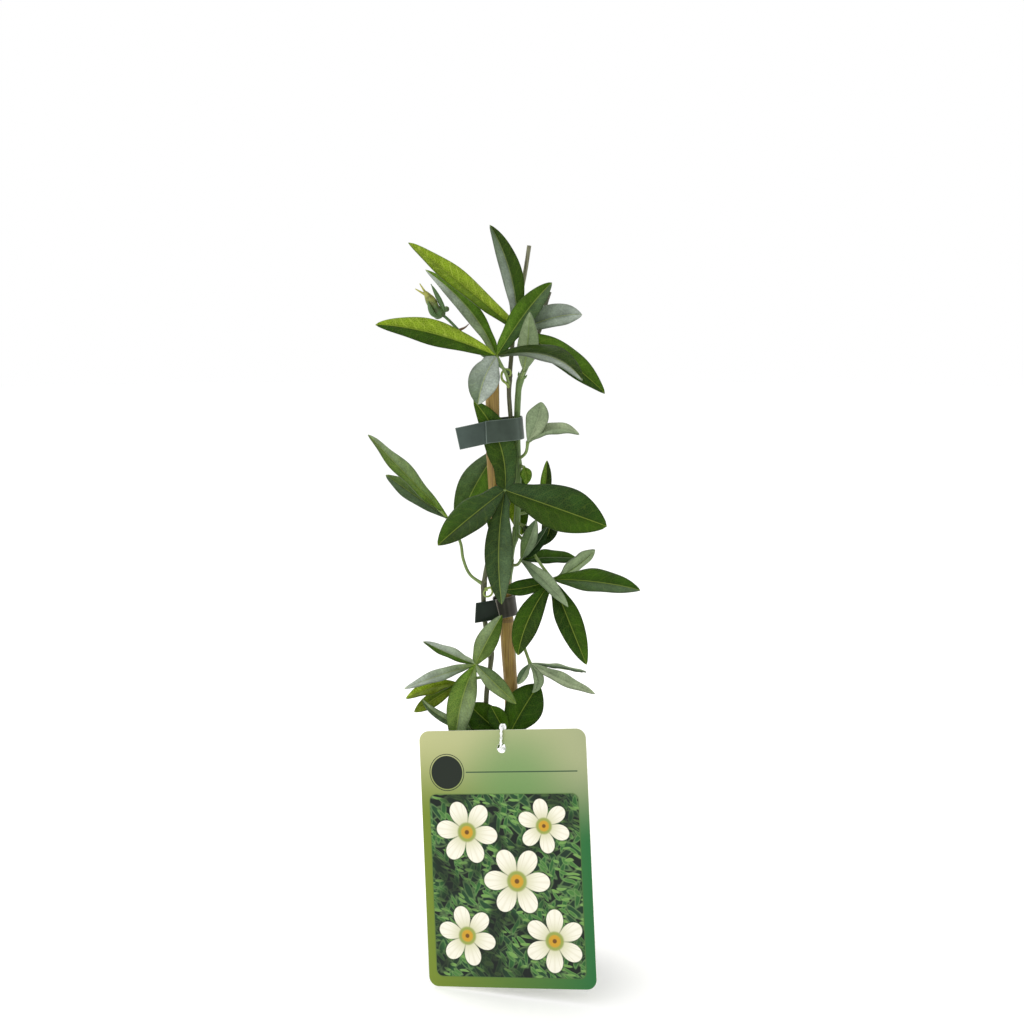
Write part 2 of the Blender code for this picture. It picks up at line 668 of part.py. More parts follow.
def make_tie(name, look, parts, route, height, middle, tilt):
    """A flat plastic band: its path in plan, raised to its height, with its own thickness."""
    work = bmesh.new()
    rows = []
    for x, y, _z in smooth_route([(x, y, 0) for x, y in route], TIE_STEP):
        rows.append([work.verts.new(Vector((x, y, z)) * MM) for z in (-height / 2, height / 2)])
    for (low, high), (next_low, next_high) in zip(rows, rows[1:]):
        work.faces.new((low, next_low, next_high, high))
    mesh = bpy.data.meshes.new(name)
    work.to_mesh(mesh)
    work.free()
    band = place(name, mesh, parts, look)
    band.location = Vector((0, 0, middle)) * MM
    band.rotation_euler = (0, math.radians(-tilt), 0)
    thick = band.modifiers.new("thickness", "SOLIDIFY")
    thick.thickness = TIE_THICKNESS * MM
    thick.offset = 0
    thick.use_even_offset = True


def tag_turn():
    """The tag's own axes: turned about the upright, leaning back on the rim and rolled."""
    yaw = Matrix.Rotation(math.radians(TAG_TURN), 3, "Z")
    lean = Matrix.Rotation(math.radians(TAG_LEAN), 3, "X")
    roll = Matrix.Rotation(math.radians(TAG_ROLL), 3, "Y")
    return yaw @ lean @ roll


def tag_middle():
    """The tag's middle, so far out that its back lies a gap off the pot's rim."""
    back = tag_turn() @ Vector((0, 1, 0))
    rim_point = Vector((0, 0, POT_HEIGHT))
    reach = RIM_RADIUS * math.hypot(back.x, back.y) + TAG_THICKNESS / 2 + GAP
    sideways = back.x * TAG_MIDDLE_X + back.z * (TAG_MIDDLE_Z - rim_point.z)
    return Vector((TAG_MIDDLE_X, (-reach - sideways) / back.y, TAG_MIDDLE_Z))


def make_tag(parts, cutters):
    card = material("printed card", (0.35, 0.5, 0.2), 0.35)
    curve = bpy.data.curves.new("tag outline", "CURVE")
    curve.dimensions = "2D"
    curve.fill_mode = "BOTH"
    curve.extrude = TAG_THICKNESS * MM / 2
    spline = curve.splines.new("POLY")
    outline = []
    for x_side, y_side, first in ((1, 1, 0), (-1, 1, 90), (-1, -1, 180), (1, -1, 270)):
        for step in range(6):
            angle = math.radians(first + 18 * step)
            outline.append((
                x_side * (TAG_WIDTH / 2 - TAG_CORNER) + TAG_CORNER * math.cos(angle),
                y_side * (TAG_HEIGHT / 2 - TAG_CORNER) + TAG_CORNER * math.sin(angle),
            ))
    spline.points.add(len(outline) - 1)
    for point, (x, y) in zip(spline.points, outline):
        point.co = (x * MM, y * MM, 0, 1)
    spline.use_cyclic_u = True
    flat = place("tag flat", curve, parts)
    flat.matrix_world = Matrix.Rotation(math.pi / 2, 4, "X")
    tag = as_mesh(flat, "label_card", parts, card)
    tag.matrix_world = Matrix.Translation(metres(tag_middle())) @ tag_turn().to_4x4()
    top = TAG_HEIGHT / 2 - TAG_HOLE_BELOW_TOP
    ends = [tag_middle() + tag_turn() @ Vector((0, side * 4, top)) for side in (-1, 1)]
    hole = cylinder("tag hole", *ends, TAG_HOLE_RADIUS, 16, cutters)
    boolean(tag, hole, "DIFFERENCE", "hole")


def make_loop(parts):
    """The clear plastic loop that ties the tag to the cane."""
    clear = material("clear plastic string", (0.85, 0.87, 0.85), 0.3)
    hole = Vector((0, 0, TAG_HEIGHT / 2 - TAG_HOLE_BELOW_TOP))
    at_tag = [tag_middle() + tag_turn() @ (hole + Vector(point)) for point in LOOP_AT_TAG]
    back = tag_middle() + tag_turn() @ (hole + Vector(LOOP_BACK))
    route = [*at_tag, *LOOP_AT_CANE, back, at_tag[0]]
    points = smooth_route(route, LOOP_STEP)[:-1]
    tube("label_loop", points, LOOP_RADIUS, parts, clear, closed=True)


def main():
    clear_scene()
    parts = collection("passion flower vine")
    cutters = collection("cutters")
    make_pot(parts, cutters)
    make_soil(parts, cutters)
    make_cane(parts)
    make_stems(parts)
    make_leaves(parts)
    make_tendrils(parts)
    make_bud(parts)
    upper = material("grey green plastic", (0.1, 0.14, 0.12), 0.45)
    lower = material("dark green plastic", (0.02, 0.045, 0.035), 0.45)
    for name, look, band in (("tie_upper", upper, UPPER_TIE), ("tie_lower", lower, LOWER_TIE)):
        make_tie(name, look, parts, **band)
    make_tag(parts, cutters)
    make_loop(parts)


main()
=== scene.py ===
# %% [markdown]
# # A young passion flower vine in its nursery pot
#
# This is a lesson in dressing a plain solid model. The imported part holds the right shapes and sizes:
# a pot, soil, a bamboo cane, two stems, sixteen leaves, two ties and a hang tag. Each cell below
# takes one of those pieces, says what it is on the real plant, and replaces or repaints it.
# Everything is in metres, with +Z up and the tag facing -Y. Sizes are written in millimetres and
# multiplied by MM, because a plant label or a leaf is easier to think about that way.

# %% Load the frame and keep its box
import math

import bmesh
import bpy
import numpy as np
from mathutils import Matrix, Vector
from mathutils import noise as lumps


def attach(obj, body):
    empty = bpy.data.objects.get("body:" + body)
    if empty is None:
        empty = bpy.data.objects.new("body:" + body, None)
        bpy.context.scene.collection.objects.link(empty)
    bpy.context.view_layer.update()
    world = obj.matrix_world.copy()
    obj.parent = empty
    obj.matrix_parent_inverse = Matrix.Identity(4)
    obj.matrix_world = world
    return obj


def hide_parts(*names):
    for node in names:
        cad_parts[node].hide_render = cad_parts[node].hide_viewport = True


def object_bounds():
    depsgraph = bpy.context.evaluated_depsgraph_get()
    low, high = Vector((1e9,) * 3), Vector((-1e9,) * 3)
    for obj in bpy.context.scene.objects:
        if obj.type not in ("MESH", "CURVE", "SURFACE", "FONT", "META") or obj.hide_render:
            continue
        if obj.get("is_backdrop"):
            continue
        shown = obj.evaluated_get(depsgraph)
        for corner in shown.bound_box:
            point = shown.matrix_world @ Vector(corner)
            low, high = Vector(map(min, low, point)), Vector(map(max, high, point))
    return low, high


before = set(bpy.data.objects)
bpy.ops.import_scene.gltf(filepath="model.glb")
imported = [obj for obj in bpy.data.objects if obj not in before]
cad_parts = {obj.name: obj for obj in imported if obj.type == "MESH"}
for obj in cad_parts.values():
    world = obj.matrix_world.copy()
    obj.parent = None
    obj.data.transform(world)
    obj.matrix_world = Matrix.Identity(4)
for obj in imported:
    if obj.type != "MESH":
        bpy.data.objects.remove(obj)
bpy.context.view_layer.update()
MM = 0.001

# %% [markdown]
# ## The camera
#
# The photo was taken from about a metre away with a fairly long lens, a little above the plant. A
# camera is easiest to place backwards: choose the point that it looks at, the direction, and the
# distance. The focal length comes from the frame: 2000 pixels of focal length on a frame of 1024
# is 70.3 mm on a 36 mm sensor.

# %% Place the camera
LOOKS_AT = Vector((-1, 0, 232.92)) * MM
CAMERA_DISTANCE = 1.0
CAMERA_ELEVATION = math.radians(8)
FOCAL_PIXELS = 2000
FRAME_PIXELS = 1024

lens = bpy.data.cameras.new("photo camera")
lens.sensor_width = 36
lens.lens = lens.sensor_width * FOCAL_PIXELS / FRAME_PIXELS
lens.clip_start = 0.01
camera = bpy.data.objects.new("photo camera", lens)
bpy.context.scene.collection.objects.link(camera)
forward = Vector((0, math.cos(CAMERA_ELEVATION), -math.sin(CAMERA_ELEVATION)))
camera.location = LOOKS_AT - forward * CAMERA_DISTANCE
camera.rotation_euler = forward.to_track_quat("-Z", "Y").to_euler()
bpy.context.scene.camera = camera
print("lens in mm:", round(lens.lens, 2), "camera height in mm:", round(camera.location.z / MM, 1))

# %% [markdown]
# ## A pale floor and soft light
#
# Product photos of plants are lit from all round, so that no leaf goes black. A bright, nearly white
# world does most of that. One large panel above and behind the plant makes the leaves that stand up
# look bright, and a weaker one at the front left puts a soft sheen on the waxy ones. The floor is a
# wide pale disc, marked as stage, because it isn't part of the object.

# %% Helpers for colours and nodes
def colour(hex_code):
    """An sRGB hex colour as the linear RGBA values that Blender works in."""
    parts = [int(hex_code[i:i + 2], 16) / 255 for i in (1, 3, 5)]
    linear = [c / 12.92 if c <= 0.04045 else ((c + 0.055) / 1.055) ** 2.4 for c in parts]
    return (*linear, 1)


def plug(node, inputs):
    """Fills inputs, by name or number, with a value, a hex colour, a socket or a node."""
    for key, value in inputs.items():
        if isinstance(value, bpy.types.Node):
            value = next(socket for socket in value.outputs if socket.enabled)
        if isinstance(value, bpy.types.NodeSocket):
            node.id_data.links.new(value, node.inputs[key])
        else:
            node.inputs[key].default_value = colour(value) if isinstance(value, str) else value


def add(tree, kind, inputs=None, **settings):
    """Adds a node with its settings and inputs. A kind without Node in it is a shader node."""
    made = tree.nodes.new(kind if "Node" in kind else "ShaderNode" + kind)
    for key, value in settings.items():
        setattr(made, key, value)
    plug(made, inputs or {})
    return made


def lay_over(tree, under, over, value, start, end, low=0, high=1, curve="SMOOTHSTEP"):
    """Lays a colour over another: a share of low where the value is before start, high past end."""
    share = add(tree, "MapRange", {0: value, 1: start, 2: end, 3: low, 4: high},
                interpolation_type=curve)
    return add(tree, "Mix", {0: share, 6: under, 7: over}, data_type="RGBA")


# %% Helpers for materials
def new_material(name):
    """An empty material, with its tree and its Principled shader, already joined to the output."""
    made = bpy.data.materials.new(name)
    made.use_nodes = True
    made.node_tree.nodes.clear()
    shader = add(made.node_tree, "BsdfPrincipled")
    add(made.node_tree, "OutputMaterial", {"Surface": shader})
    return made, made.node_tree, shader


def mottled(name, first, second, size_mm, start, end, looks, detail=2, relief=None):
    """A skin that turns from one colour to another in patches about size_mm across."""
    made, tree, shader = new_material(name)
    place = add(tree, "TexCoord").outputs["Object"]
    cloud = add(tree, "TexNoise", {"Vector": place, "Scale": 1 / (size_mm * MM), "Detail": detail})
    plug(shader, {"Base Color": lay_over(tree, first, second, cloud, start, end), **looks})
    if relief:
        strength, depth = relief
        bump = add(tree, "Bump", {"Height": cloud, "Strength": strength, "Distance": depth * MM})
        plug(shader, {"Normal": bump})
    return made


# %% Build the studio
def show(obj):
    """Puts an object into the scene."""
    bpy.context.scene.collection.objects.link(obj)
    return obj


def area_light(name, size, power, place, target, tint):
    light = bpy.data.lights.new(name, "AREA")
    light.shape = "DISK"
    light.size = size
    light.energy = power
    light.color = colour(tint)[:3]
    obj = show(bpy.data.objects.new(name, light))
    obj.location = place
    obj.rotation_euler = (Vector(target) - Vector(place)).to_track_quat("-Z", "Y").to_euler()


world = bpy.data.worlds.new("soft white studio")
bpy.context.scene.world = world
world.use_nodes = True
plug(world.node_tree.nodes["Background"], {"Color": "#ffffff", "Strength": 1.0})
PLANT_MIDDLE = (0, 0, 0.2)
FLOOR_RADIUS = 4
FLOOR_GLOW = 0.12
area_light("panel above and behind", 0.9, 7.0, (-0.5, 0.55, 1.25), PLANT_MIDDLE, "#fffdf6")
area_light("panel front left", 0.8, 1.5, (-0.9, -0.9, 0.75), PLANT_MIDDLE, "#ffffff")

bpy.ops.mesh.primitive_circle_add(vertices=96, radius=FLOOR_RADIUS, fill_type="NGON")
floor = bpy.context.object
floor.name = "studio_floor"
# Matt white paper: it takes the soft contact shadow, and glows a little to meet the white world.
paper, tree, shader = new_material("white studio paper")
plug(shader, {"Base Color": "#f7f7f6", "Roughness": 0.9, "Specular IOR Level": 0.1,
              "Emission Color": "#ffffff", "Emission Strength": FLOOR_GLOW})
floor.data.materials.append(paper)
floor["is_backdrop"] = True
bpy.context.scene.view_settings.view_transform = "Standard"
print("lights:", len(bpy.data.lights))

# %% [markdown]
# ## Living surfaces
#
# A leaf is a thin waxy skin over soft green tissue, with a net of pale veins. Where the light comes
# through it the green turns yellow. Two things make that convincing: a tint that is painted on the
# mesh, because each half of each lobe catches the light in its own way, and a vein pattern that
# follows the blade. The mesh carries both: a colour attribute named tint, and a UV map named blade
# that holds the distance across from the rib and along it, in metres. Side veins leave the rib at
# about 45 degrees every few millimetres, so they are stripes on "along minus across". The finest
# net is a Voronoi pattern, drawn a little coarser than a real one so that it shows.

# %% Leaf skins
# Side veins: how far apart in mm, how steep against the rib, and how far a noise bends them
SIDE_VEIN_SPACING = 5.2
SIDE_VEIN_SLOPE = 0.95
SIDE_VEIN_WOBBLE = 7.0
NET_CELL = 1.0
# How strongly the fine veins show in a dark green leaf, next to 1 in one with light behind it
VEINS_IN_SHADE = 0.11
MIDRIB_SHARE = 0.26
LEAF_SPECULAR = 0.08


def leaf_skin(name, vein, vein_share, net_share, roughness, relief, wash="#9db08f", wash_share=0.0):
    """A leaf surface: the painted tint, drawn towards a wash, under side veins and a fine net."""
    made, tree, shader = new_material(name)
    tint = add(tree, "Attribute", attribute_name="tint")
    where = add(tree, "UVMap", uv_map="blade")
    in_mm = add(tree, "VectorMath", {0: where, 3: 1 / MM}, operation="SCALE")
    parts = add(tree, "SeparateXYZ", {0: in_mm})
    across = add(tree, "Math", {0: parts.outputs[0]}, operation="ABSOLUTE")
    wobble = add(tree, "TexNoise", {"Vector": in_mm, "Scale": 0.22, "Detail": 2})
    back = add(tree, "Math", {0: across, 1: -SIDE_VEIN_SLOPE, 2: parts.outputs[1]},
               operation="MULTIPLY_ADD")
    bent = add(tree, "Math", {0: wobble, 1: SIDE_VEIN_WOBBLE, 2: back}, operation="MULTIPLY_ADD")
    stripe = add(tree, "Math", {0: bent, 1: SIDE_VEIN_SPACING / 2}, operation="PINGPONG")
    side_vein = add(tree, "MapRange", {0: stripe, 1: 0.1, 2: 0.45, 3: 0.7, 4: 0},
                    interpolation_type="SMOOTHSTEP")
    midrib = add(tree, "MapRange", {0: across, 1: 0.15, 2: 0.42, 3: 1, 4: 0},
                 interpolation_type="SMOOTHSTEP")
    cells = add(tree, "TexVoronoi", {"Vector": in_mm, "Scale": 1 / NET_CELL},
                feature="DISTANCE_TO_EDGE", voronoi_dimensions="2D")
    net = add(tree, "MapRange", {0: cells, 1: 0.01, 2: 0.15, 3: net_share, 4: 0},
              interpolation_type="SMOOTHSTEP")
    veins = add(tree, "Math", {0: side_vein, 1: net}, operation="MAXIMUM")
    split = add(tree, "SeparateColor", {0: tint})
    yellow = add(tree, "Math", {0: split.outputs[1], 1: split.outputs[2]}, operation="SUBTRACT")
    lit = add(tree, "MapRange", {0: yellow, 1: 0.12, 2: 0.23, 3: VEINS_IN_SHADE, 4: 1})
    vein_strength = add(tree, "Math", {0: lit, 1: vein_share}, operation="MULTIPLY")
    fine_share = add(tree, "Math", {0: veins, 1: vein_strength}, operation="MULTIPLY")
    rib_share = add(tree, "Math", {0: midrib, 1: MIDRIB_SHARE}, operation="MULTIPLY")
    share = add(tree, "Math", {0: fine_share, 1: rib_share}, operation="MAXIMUM")
    cloud = add(tree, "TexNoise", {"Vector": in_mm, "Scale": 0.16, "Detail": 4})
    speckle = add(tree, "TexNoise", {"Vector": in_mm, "Scale": 1.1, "Detail": 3})
    patchy = add(tree, "MapRange", {0: cloud, 1: 0.3, 2: 0.7, 3: 0.74, 4: 1.2})
    speckled = add(tree, "MapRange", {0: speckle, 1: 0.3, 2: 0.7, 3: 0.8, 4: 1.2})
    value = add(tree, "Math", {0: patchy, 1: speckled}, operation="MULTIPLY")
    washed = add(tree, "Mix", {0: wash_share, 6: tint, 7: wash}, data_type="RGBA")
    varied = add(tree, "VectorMath", {0: washed, 3: value}, operation="SCALE")
    final = add(tree, "Mix", {0: share, 6: varied, 7: vein}, data_type="RGBA")
    gloss = add(tree, "MapRange", {0: cloud, 1: 0.3, 2: 0.7, 3: roughness - 0.06, 4: roughness + 0.08})
    bump = add(tree, "Bump", {"Height": veins, "Strength": 0.8, "Distance": relief * MM})
    plug(shader, {"Base Color": final, "Roughness": gloss, "Normal": bump,
                  "Specular IOR Level": LEAF_SPECULAR})
    return made


# %% The leaves' four surfaces
# The upper skin is waxy: the veins lie in shallow grooves, so their relief is negative.
waxy_upper = leaf_skin("waxy leaf upper skin", "#c3d65a", 0.62, 0.7, 0.36, -0.12)
# The underside is matt and pale, and its veins stand out of it.
matt_under = leaf_skin("matt leaf underside", "#b5c49c", 0.5, 0.5, 0.55, 0.14, "#7d9166", 0.6)
# A young leaf has soft pale down that hides the net.
downy_young = leaf_skin("downy young leaf skin", "#b9c9a0", 0.45, 0.35, 0.5, -0.08)

# The margin is the same green, a little deeper and satin, so that it draws a fine outline.
leaf_rim, tree, shader = new_material("leaf margin")
tint = add(tree, "Attribute", attribute_name="tint")
deeper = add(tree, "Mix", {0: 0.35, 6: tint, 7: "#2a3a14"}, data_type="RGBA")
plug(shader, {"Base Color": deeper, "Roughness": 0.5})
print("leaf skins:", waxy_upper.name, "/", matt_under.name, "/", downy_young.name)

# %% [markdown]
# ## Stalks that follow a path
#
# Stems, leaf stalks, tendrils, the cane and the tag's string are all tubes along a path, so one
# Geometry Nodes tree makes them all. It evens out the points of a curve, sweeps a circle along it at
# the curve's own radius, roughens the surface by a noise and gives it a skin. The tree has named
# inputs for the step, the number of sides and the depth of the roughness.

# %% The stalk tree
def new_tree(name, *inputs):
    """A tree with named inputs of a kind and, mostly, a default. Returns it and its input sockets."""
    tree = bpy.data.node_groups.new(name, "GeometryNodeTree")
    for label, kind, *default in (("Geometry", "Geometry"), *inputs):
        socket = tree.interface.new_socket(label, in_out="INPUT", socket_type="NodeSocket" + kind)
        if default:
            socket.default_value = default[0]
    tree.interface.new_socket("Geometry", in_out="OUTPUT", socket_type="NodeSocketGeometry")
    return tree, add(tree, "NodeGroupInput").outputs


def end_tree(tree, shape, skin):
    """Makes any instances real, gives the shape its skin and sends it out."""
    real = add(tree, "GeometryNodeRealizeInstances", {0: shape})
    skinned = add(tree, "GeometryNodeSetMaterial", {"Geometry": real, "Material": skin})
    add(tree, "NodeGroupOutput", {"Geometry": skinned})
    print(tree.name, "nodes:", len(tree.nodes))


stalk_tree, given = new_tree(
    "stalk along a path", ("Step", "Float", 1 * MM), ("Sides", "Int", 10),
    ("Roughness depth", "Float", 0.05 * MM), ("Grain size", "Float", 3 * MM), ("Skin", "Material"))
even = add(stalk_tree, "GeometryNodeResampleCurve", {"Curve": given["Geometry"],
                                                     "Length": given["Step"]}, mode="LENGTH")
ring = add(stalk_tree, "GeometryNodeCurvePrimitiveCircle", {"Resolution": given["Sides"], "Radius": 1.0})
thick = add(stalk_tree, "GeometryNodeInputRadius")
swept = add(stalk_tree, "GeometryNodeCurveToMesh",
            {"Curve": even, "Profile Curve": ring, "Scale": thick, "Fill Caps": True})
at = add(stalk_tree, "GeometryNodeInputPosition")
grain = add(stalk_tree, "Math", {0: 1.0, 1: given["Grain size"]}, operation="DIVIDE")
noise = add(stalk_tree, "TexNoise", {"Vector": at, "Scale": grain, "Detail": 3})
centred = add(stalk_tree, "Math", {0: noise, 1: 0.5}, operation="SUBTRACT")
depth = add(stalk_tree, "Math", {0: centred, 1: given["Roughness depth"]}, operation="MULTIPLY")
outward = add(stalk_tree, "GeometryNodeInputNormal")
push = add(stalk_tree, "VectorMath", {0: outward, 3: depth}, operation="SCALE")
rough = add(stalk_tree, "GeometryNodeSetPosition", {"Geometry": swept, "Offset": push})
soft = add(stalk_tree, "GeometryNodeSetShadeSmooth", {"Geometry": rough})
end_tree(stalk_tree, soft, given["Skin"])


# %% From a tree to a plain mesh
def plain(obj):
    """The object as the viewport shows it, as a plain mesh at the origin with no modifier."""
    bpy.context.view_layer.update()
    graph = bpy.context.evaluated_depsgraph_get()
    mesh = bpy.data.meshes.new_from_object(obj.evaluated_get(graph))
    mesh.transform(obj.matrix_world)
    name = obj.name
    made = bpy.data.objects.new(name, mesh)
    bpy.data.objects.remove(obj, do_unlink=True)
    made.name = name
    return show(made)


def run_tree(obj, tree, **values):
    """Puts the tree on the object with these inputs, by the sockets' names, and makes it plain."""
    modifier = obj.modifiers.new(tree.name, "NODES")
    modifier.node_group = tree
    for item in tree.interface.items_tree:
        key = item.name.replace(" ", "_").lower()
        if item.in_out == "INPUT" and key in values:
            modifier[item.identifier] = values[key]
    return plain(obj)


# %% Paths and stalks
def smooth_route(points, step):
    """Points about a step apart on a Catmull-Rom curve through the route's own points."""
    route = [Vector(point) for point in points]
    ends = [2 * route[0] - route[1], *route, 2 * route[-1] - route[-2]]
    found = []
    for before, start, end, after in zip(ends, ends[1:], ends[2:], ends[3:]):
        parts = max(1, round((end - start).length / step))
        for part in range(parts):
            t = part / parts
            found.append(
                0.5 * (2 * start + (end - before) * t
                       + (2 * before - 5 * start + 4 * end - after) * t * t
                       + (3 * start - before - 3 * end + after) * t * t * t)
            )
    found.append(route[-1])
    return found


def stalk(name, points, radius_at, skin, step=1.0, sides=10, depth=0.06, grain=3.0):
    """A tube through points in mm. radius_at gives its radius from the share and the point."""
    curve = bpy.data.curves.new(name, "CURVE")
    curve.dimensions = "3D"
    spline = curve.splines.new("POLY")
    spline.points.add(len(points) - 1)
    for index, point in enumerate(points):
        spline.points[index].co = (*(Vector(point) * MM), 1)
        spline.points[index].radius = radius_at(index / (len(points) - 1), Vector(point)) * MM
    obj = show(bpy.data.objects.new(name, curve))
    return run_tree(obj, stalk_tree, step=step * MM, sides=sides, roughness_depth=depth * MM,
                    grain_size=grain * MM, skin=skin)


def hump(off, spread):
    """A smooth hump that is 1 where off is 0 and fades past the spread."""
    return math.exp(-((off / spread) ** 2))


# %% Joining pieces and seating them
def fuse(name, pieces):
    """Joins plain meshes into the first one."""
    with bpy.context.temp_override(active_object=pieces[0], selected_objects=pieces,
                                   selected_editable_objects=pieces):
        bpy.ops.object.join()
    pieces[0].name = name
    pieces[0].data.name = name
    return pieces[0]


def finished(piece, slot, *nodes):
    """Seats a finished piece on the one body, in place of its CAD nodes, and says what it holds."""
    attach(piece, "root")
    if nodes:
        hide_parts(*nodes)
    print(piece.name, "faces:", len(piece.data.polygons))
    return piece


# %% [markdown]
# ## The bamboo cane
#
# A dried bamboo cane is tan, with fine fibres along it, a low ring with a dark line at each joint,
# and weather stains. The solid's points are repeated here, with a finer step. The grain is a noise
# that is squeezed across the cane and stretched along it: fibres are about 0.4 mm wide and some
# 15 mm long.

# %% Dry bamboo
CANE_RADIUS = 3.5
CANE_POINTS = [
    (3.5, 0, 16), (2.2, 0, 62), (0, 0, 105), (-1.5, 0, 142), (-3, 0, 163), (-4, 0, 180),
    (-6, 0, 208), (-9, 0, 240), (-10.5, 0, 268), (-10.7, 0, 295), (-11, 0, 312),
]
CANE_RINGS = (96, 178, 262)
# The ring at a joint and the waist above it: height or depth, and how far they spread, in mm
RING_RISE = 0.3
RING_SPREAD = 1.6
WAIST_DEPTH = 0.12
WAIST_ABOVE_RING = 5
WAIST_SPREAD = 3
SCAR_REACH = 0.9
FIBRE_WIDTH = 0.4
FIBRE_LENGTH = 15.0

# Straw and tan fibres under a weak satin, with brown stains and a dark scar at each ring.
bamboo, tree, shader = new_material("dry bamboo")
place = add(tree, "TexCoord").outputs["Object"]
stretch = add(tree, "Mapping", {"Vector": place, "Scale": (
    1 / (FIBRE_WIDTH * MM), 1 / (FIBRE_WIDTH * MM), 1 / (FIBRE_LENGTH * MM))})
fibres = add(tree, "TexNoise", {"Vector": stretch, "Scale": 1.0, "Detail": 4})
blotches = add(tree, "TexNoise", {"Vector": place, "Scale": 1 / (14 * MM), "Detail": 3})
tan = lay_over(tree, "#73561b", "#a2873e", fibres, 0.35, 0.65, curve="LINEAR")
dark = lay_over(tree, tan, "#75592a", blotches, 0.45, 0.75, 0, 0.6, "LINEAR")
height = add(tree, "SeparateXYZ", {0: place}).outputs[2]
for ring_height in CANE_RINGS:
    scar = add(tree, "Math", {0: height, 1: ring_height * MM, 2: SCAR_REACH * MM}, operation="COMPARE")
    dark = lay_over(tree, dark, "#5b4328", scar, 0, 1, 0, 0.55, "LINEAR")
bump = add(tree, "Bump", {"Height": fibres, "Strength": 0.5, "Distance": 0.1 * MM})
plug(shader, {"Base Color": dark, "Roughness": 0.52, "Normal": bump})


def cane_radius(_share, point):
    """The ring at each joint stands a little proud, with a shallow waist just above it."""
    swell = sum(hump(point.z - z, RING_SPREAD) for z in CANE_RINGS)
    waist = sum(hump(point.z - z - WAIST_ABOVE_RING, WAIST_SPREAD) for z in CANE_RINGS)
    return CANE_RADIUS - 0.05 + RING_RISE * swell - WAIST_DEPTH * waist


cane = stalk("cane", smooth_route(CANE_POINTS, 1.0), cane_radius, bamboo, step=1.0, sides=28,
             depth=0.18, grain=9.0)
finished(cane, "cane", "bamboo_cane")

# %% [markdown]
# ## The two stems
#
# The older stem is woody and purple brown with green showing through. The younger one is green, and
# its tip is a thin dark shoot. Both are a little thicker where a leaf stalk leaves them. Their paths
# repeat the solid's. The skins are streaked lengthwise like the cane, but finer.

# %% Stem skins
def stem_skin(name, low, high, streak, streak_share, turn_height=None, top=None):
    """A streaked stem, which may turn to another colour above a height in mm."""
    made, tree, shader = new_material(name)
    place = add(tree, "TexCoord").outputs["Object"]
    stretch = add(tree, "Mapping", {"Vector": place, "Scale": (
        1 / (0.5 * MM), 1 / (0.5 * MM), 1 / (9 * MM))})
    fine = add(tree, "TexNoise", {"Vector": stretch, "Scale": 1.0, "Detail": 3})
    cloud = add(tree, "TexNoise", {"Vector": place, "Scale": 1 / (12 * MM)})
    ground = add(tree, "Mix", {0: cloud, 6: low, 7: high}, data_type="RGBA")
    if turn_height:
        z = add(tree, "SeparateXYZ", {0: place}).outputs[2]
        ground = lay_over(tree, ground, top, z, (turn_height - 6) * MM, (turn_height + 6) * MM,
                          curve="LINEAR")
    final = lay_over(tree, ground, streak, fine, 0.5, 0.62, 0, streak_share, "LINEAR")
    bump = add(tree, "Bump", {"Height": fine, "Strength": 0.5, "Distance": 0.1 * MM})
    plug(shader, {"Base Color": final, "Roughness": 0.48, "Normal": bump})
    return made


# Bark is dark with olive showing through, green stems are streaked, and the tip of each is drier.
# Leaf stalks and tendrils are lighter and smoother, and dead scales and bracts are papery brown.
woody = stem_skin("woody purple stem", "#3f3c26", "#5a6238", "#2a1f1a", 0.75, 338, "#77785a")
green_stem = stem_skin("green young stem", "#526f33", "#76914f", "#3b4f28", 0.6, 308, "#4c4a34")
petiole_skin = stem_skin("leaf stalk", "#5d7a34", "#8a9d5c", "#4a5a2c", 0.4)
tendril_skin = stem_skin("tendril", "#6f8a34", "#9fb257", "#5f5a2c", 0.5)
bract_skin = stem_skin("green bud bract", "#3f5f30", "#5f7e46", "#2c4122", 0.5)
dry_brown = stem_skin("dry brown bract", "#4a3526", "#7a5c3c", "#2c1e16", 0.5)

# %% Stem paths
FRONT_STEM = {
    "route": [
        (-13, -5, 62), (-13.5, -5, 100), (-14, -6, 138), (-11.5, -6, 161), (-14.5, -5.5, 178),
        (-15, -6, 197), (-11, -7.5, 217), (-4.5, -7, 237), (-2, -4, 258), (-1.5, 0, 276),
        (-2.5, -1, 293), (-1.5, -2, 309), (1, 2, 333), (3, 5, 340), (5.5, 5, 352), (7.5, 5, 365),
    ],
    "radii": (1.35, 1.05),
    "full_to": 0,
    "joints": (112, 150, 162, 197, 236, 299, 334),
}
BACK_STEM = {
    "route": [
        (5, 9, 62), (1, 9.5, 124), (-1, 8.5, 166), (-3, 7.5, 187), (-2, 5.5, 205), (-1, 4, 214),
        (1, 2.5, 222), (2, 2, 240), (2, 2.5, 257), (1.5, 3.5, 275), (2, 2.5, 291),
        (3.2, 1.2, 299), (7, 2, 308), (10, 5, 318), (13, 8, 324), (16, 11, 336), (18, 11.5, 342),
    ],
    "radii": (1.6, 0.8),
    "full_to": 0.8,
    "joints": (168, 205, 222, 257, 299, 317),
}
print("points in the stems' routes:", len(FRONT_STEM["route"]), len(BACK_STEM["route"]))

# %% Along a stem
SOIL_TOP = 64
# How deep in the soil the stems' feet stand
ROOT_DEPTH = 28
# A joint is thicker by this share, and fades over so many mm below it and above it
JOINT_SWELL = 0.3
SWELL_BELOW = 3.2
SWELL_ABOVE = 1.8


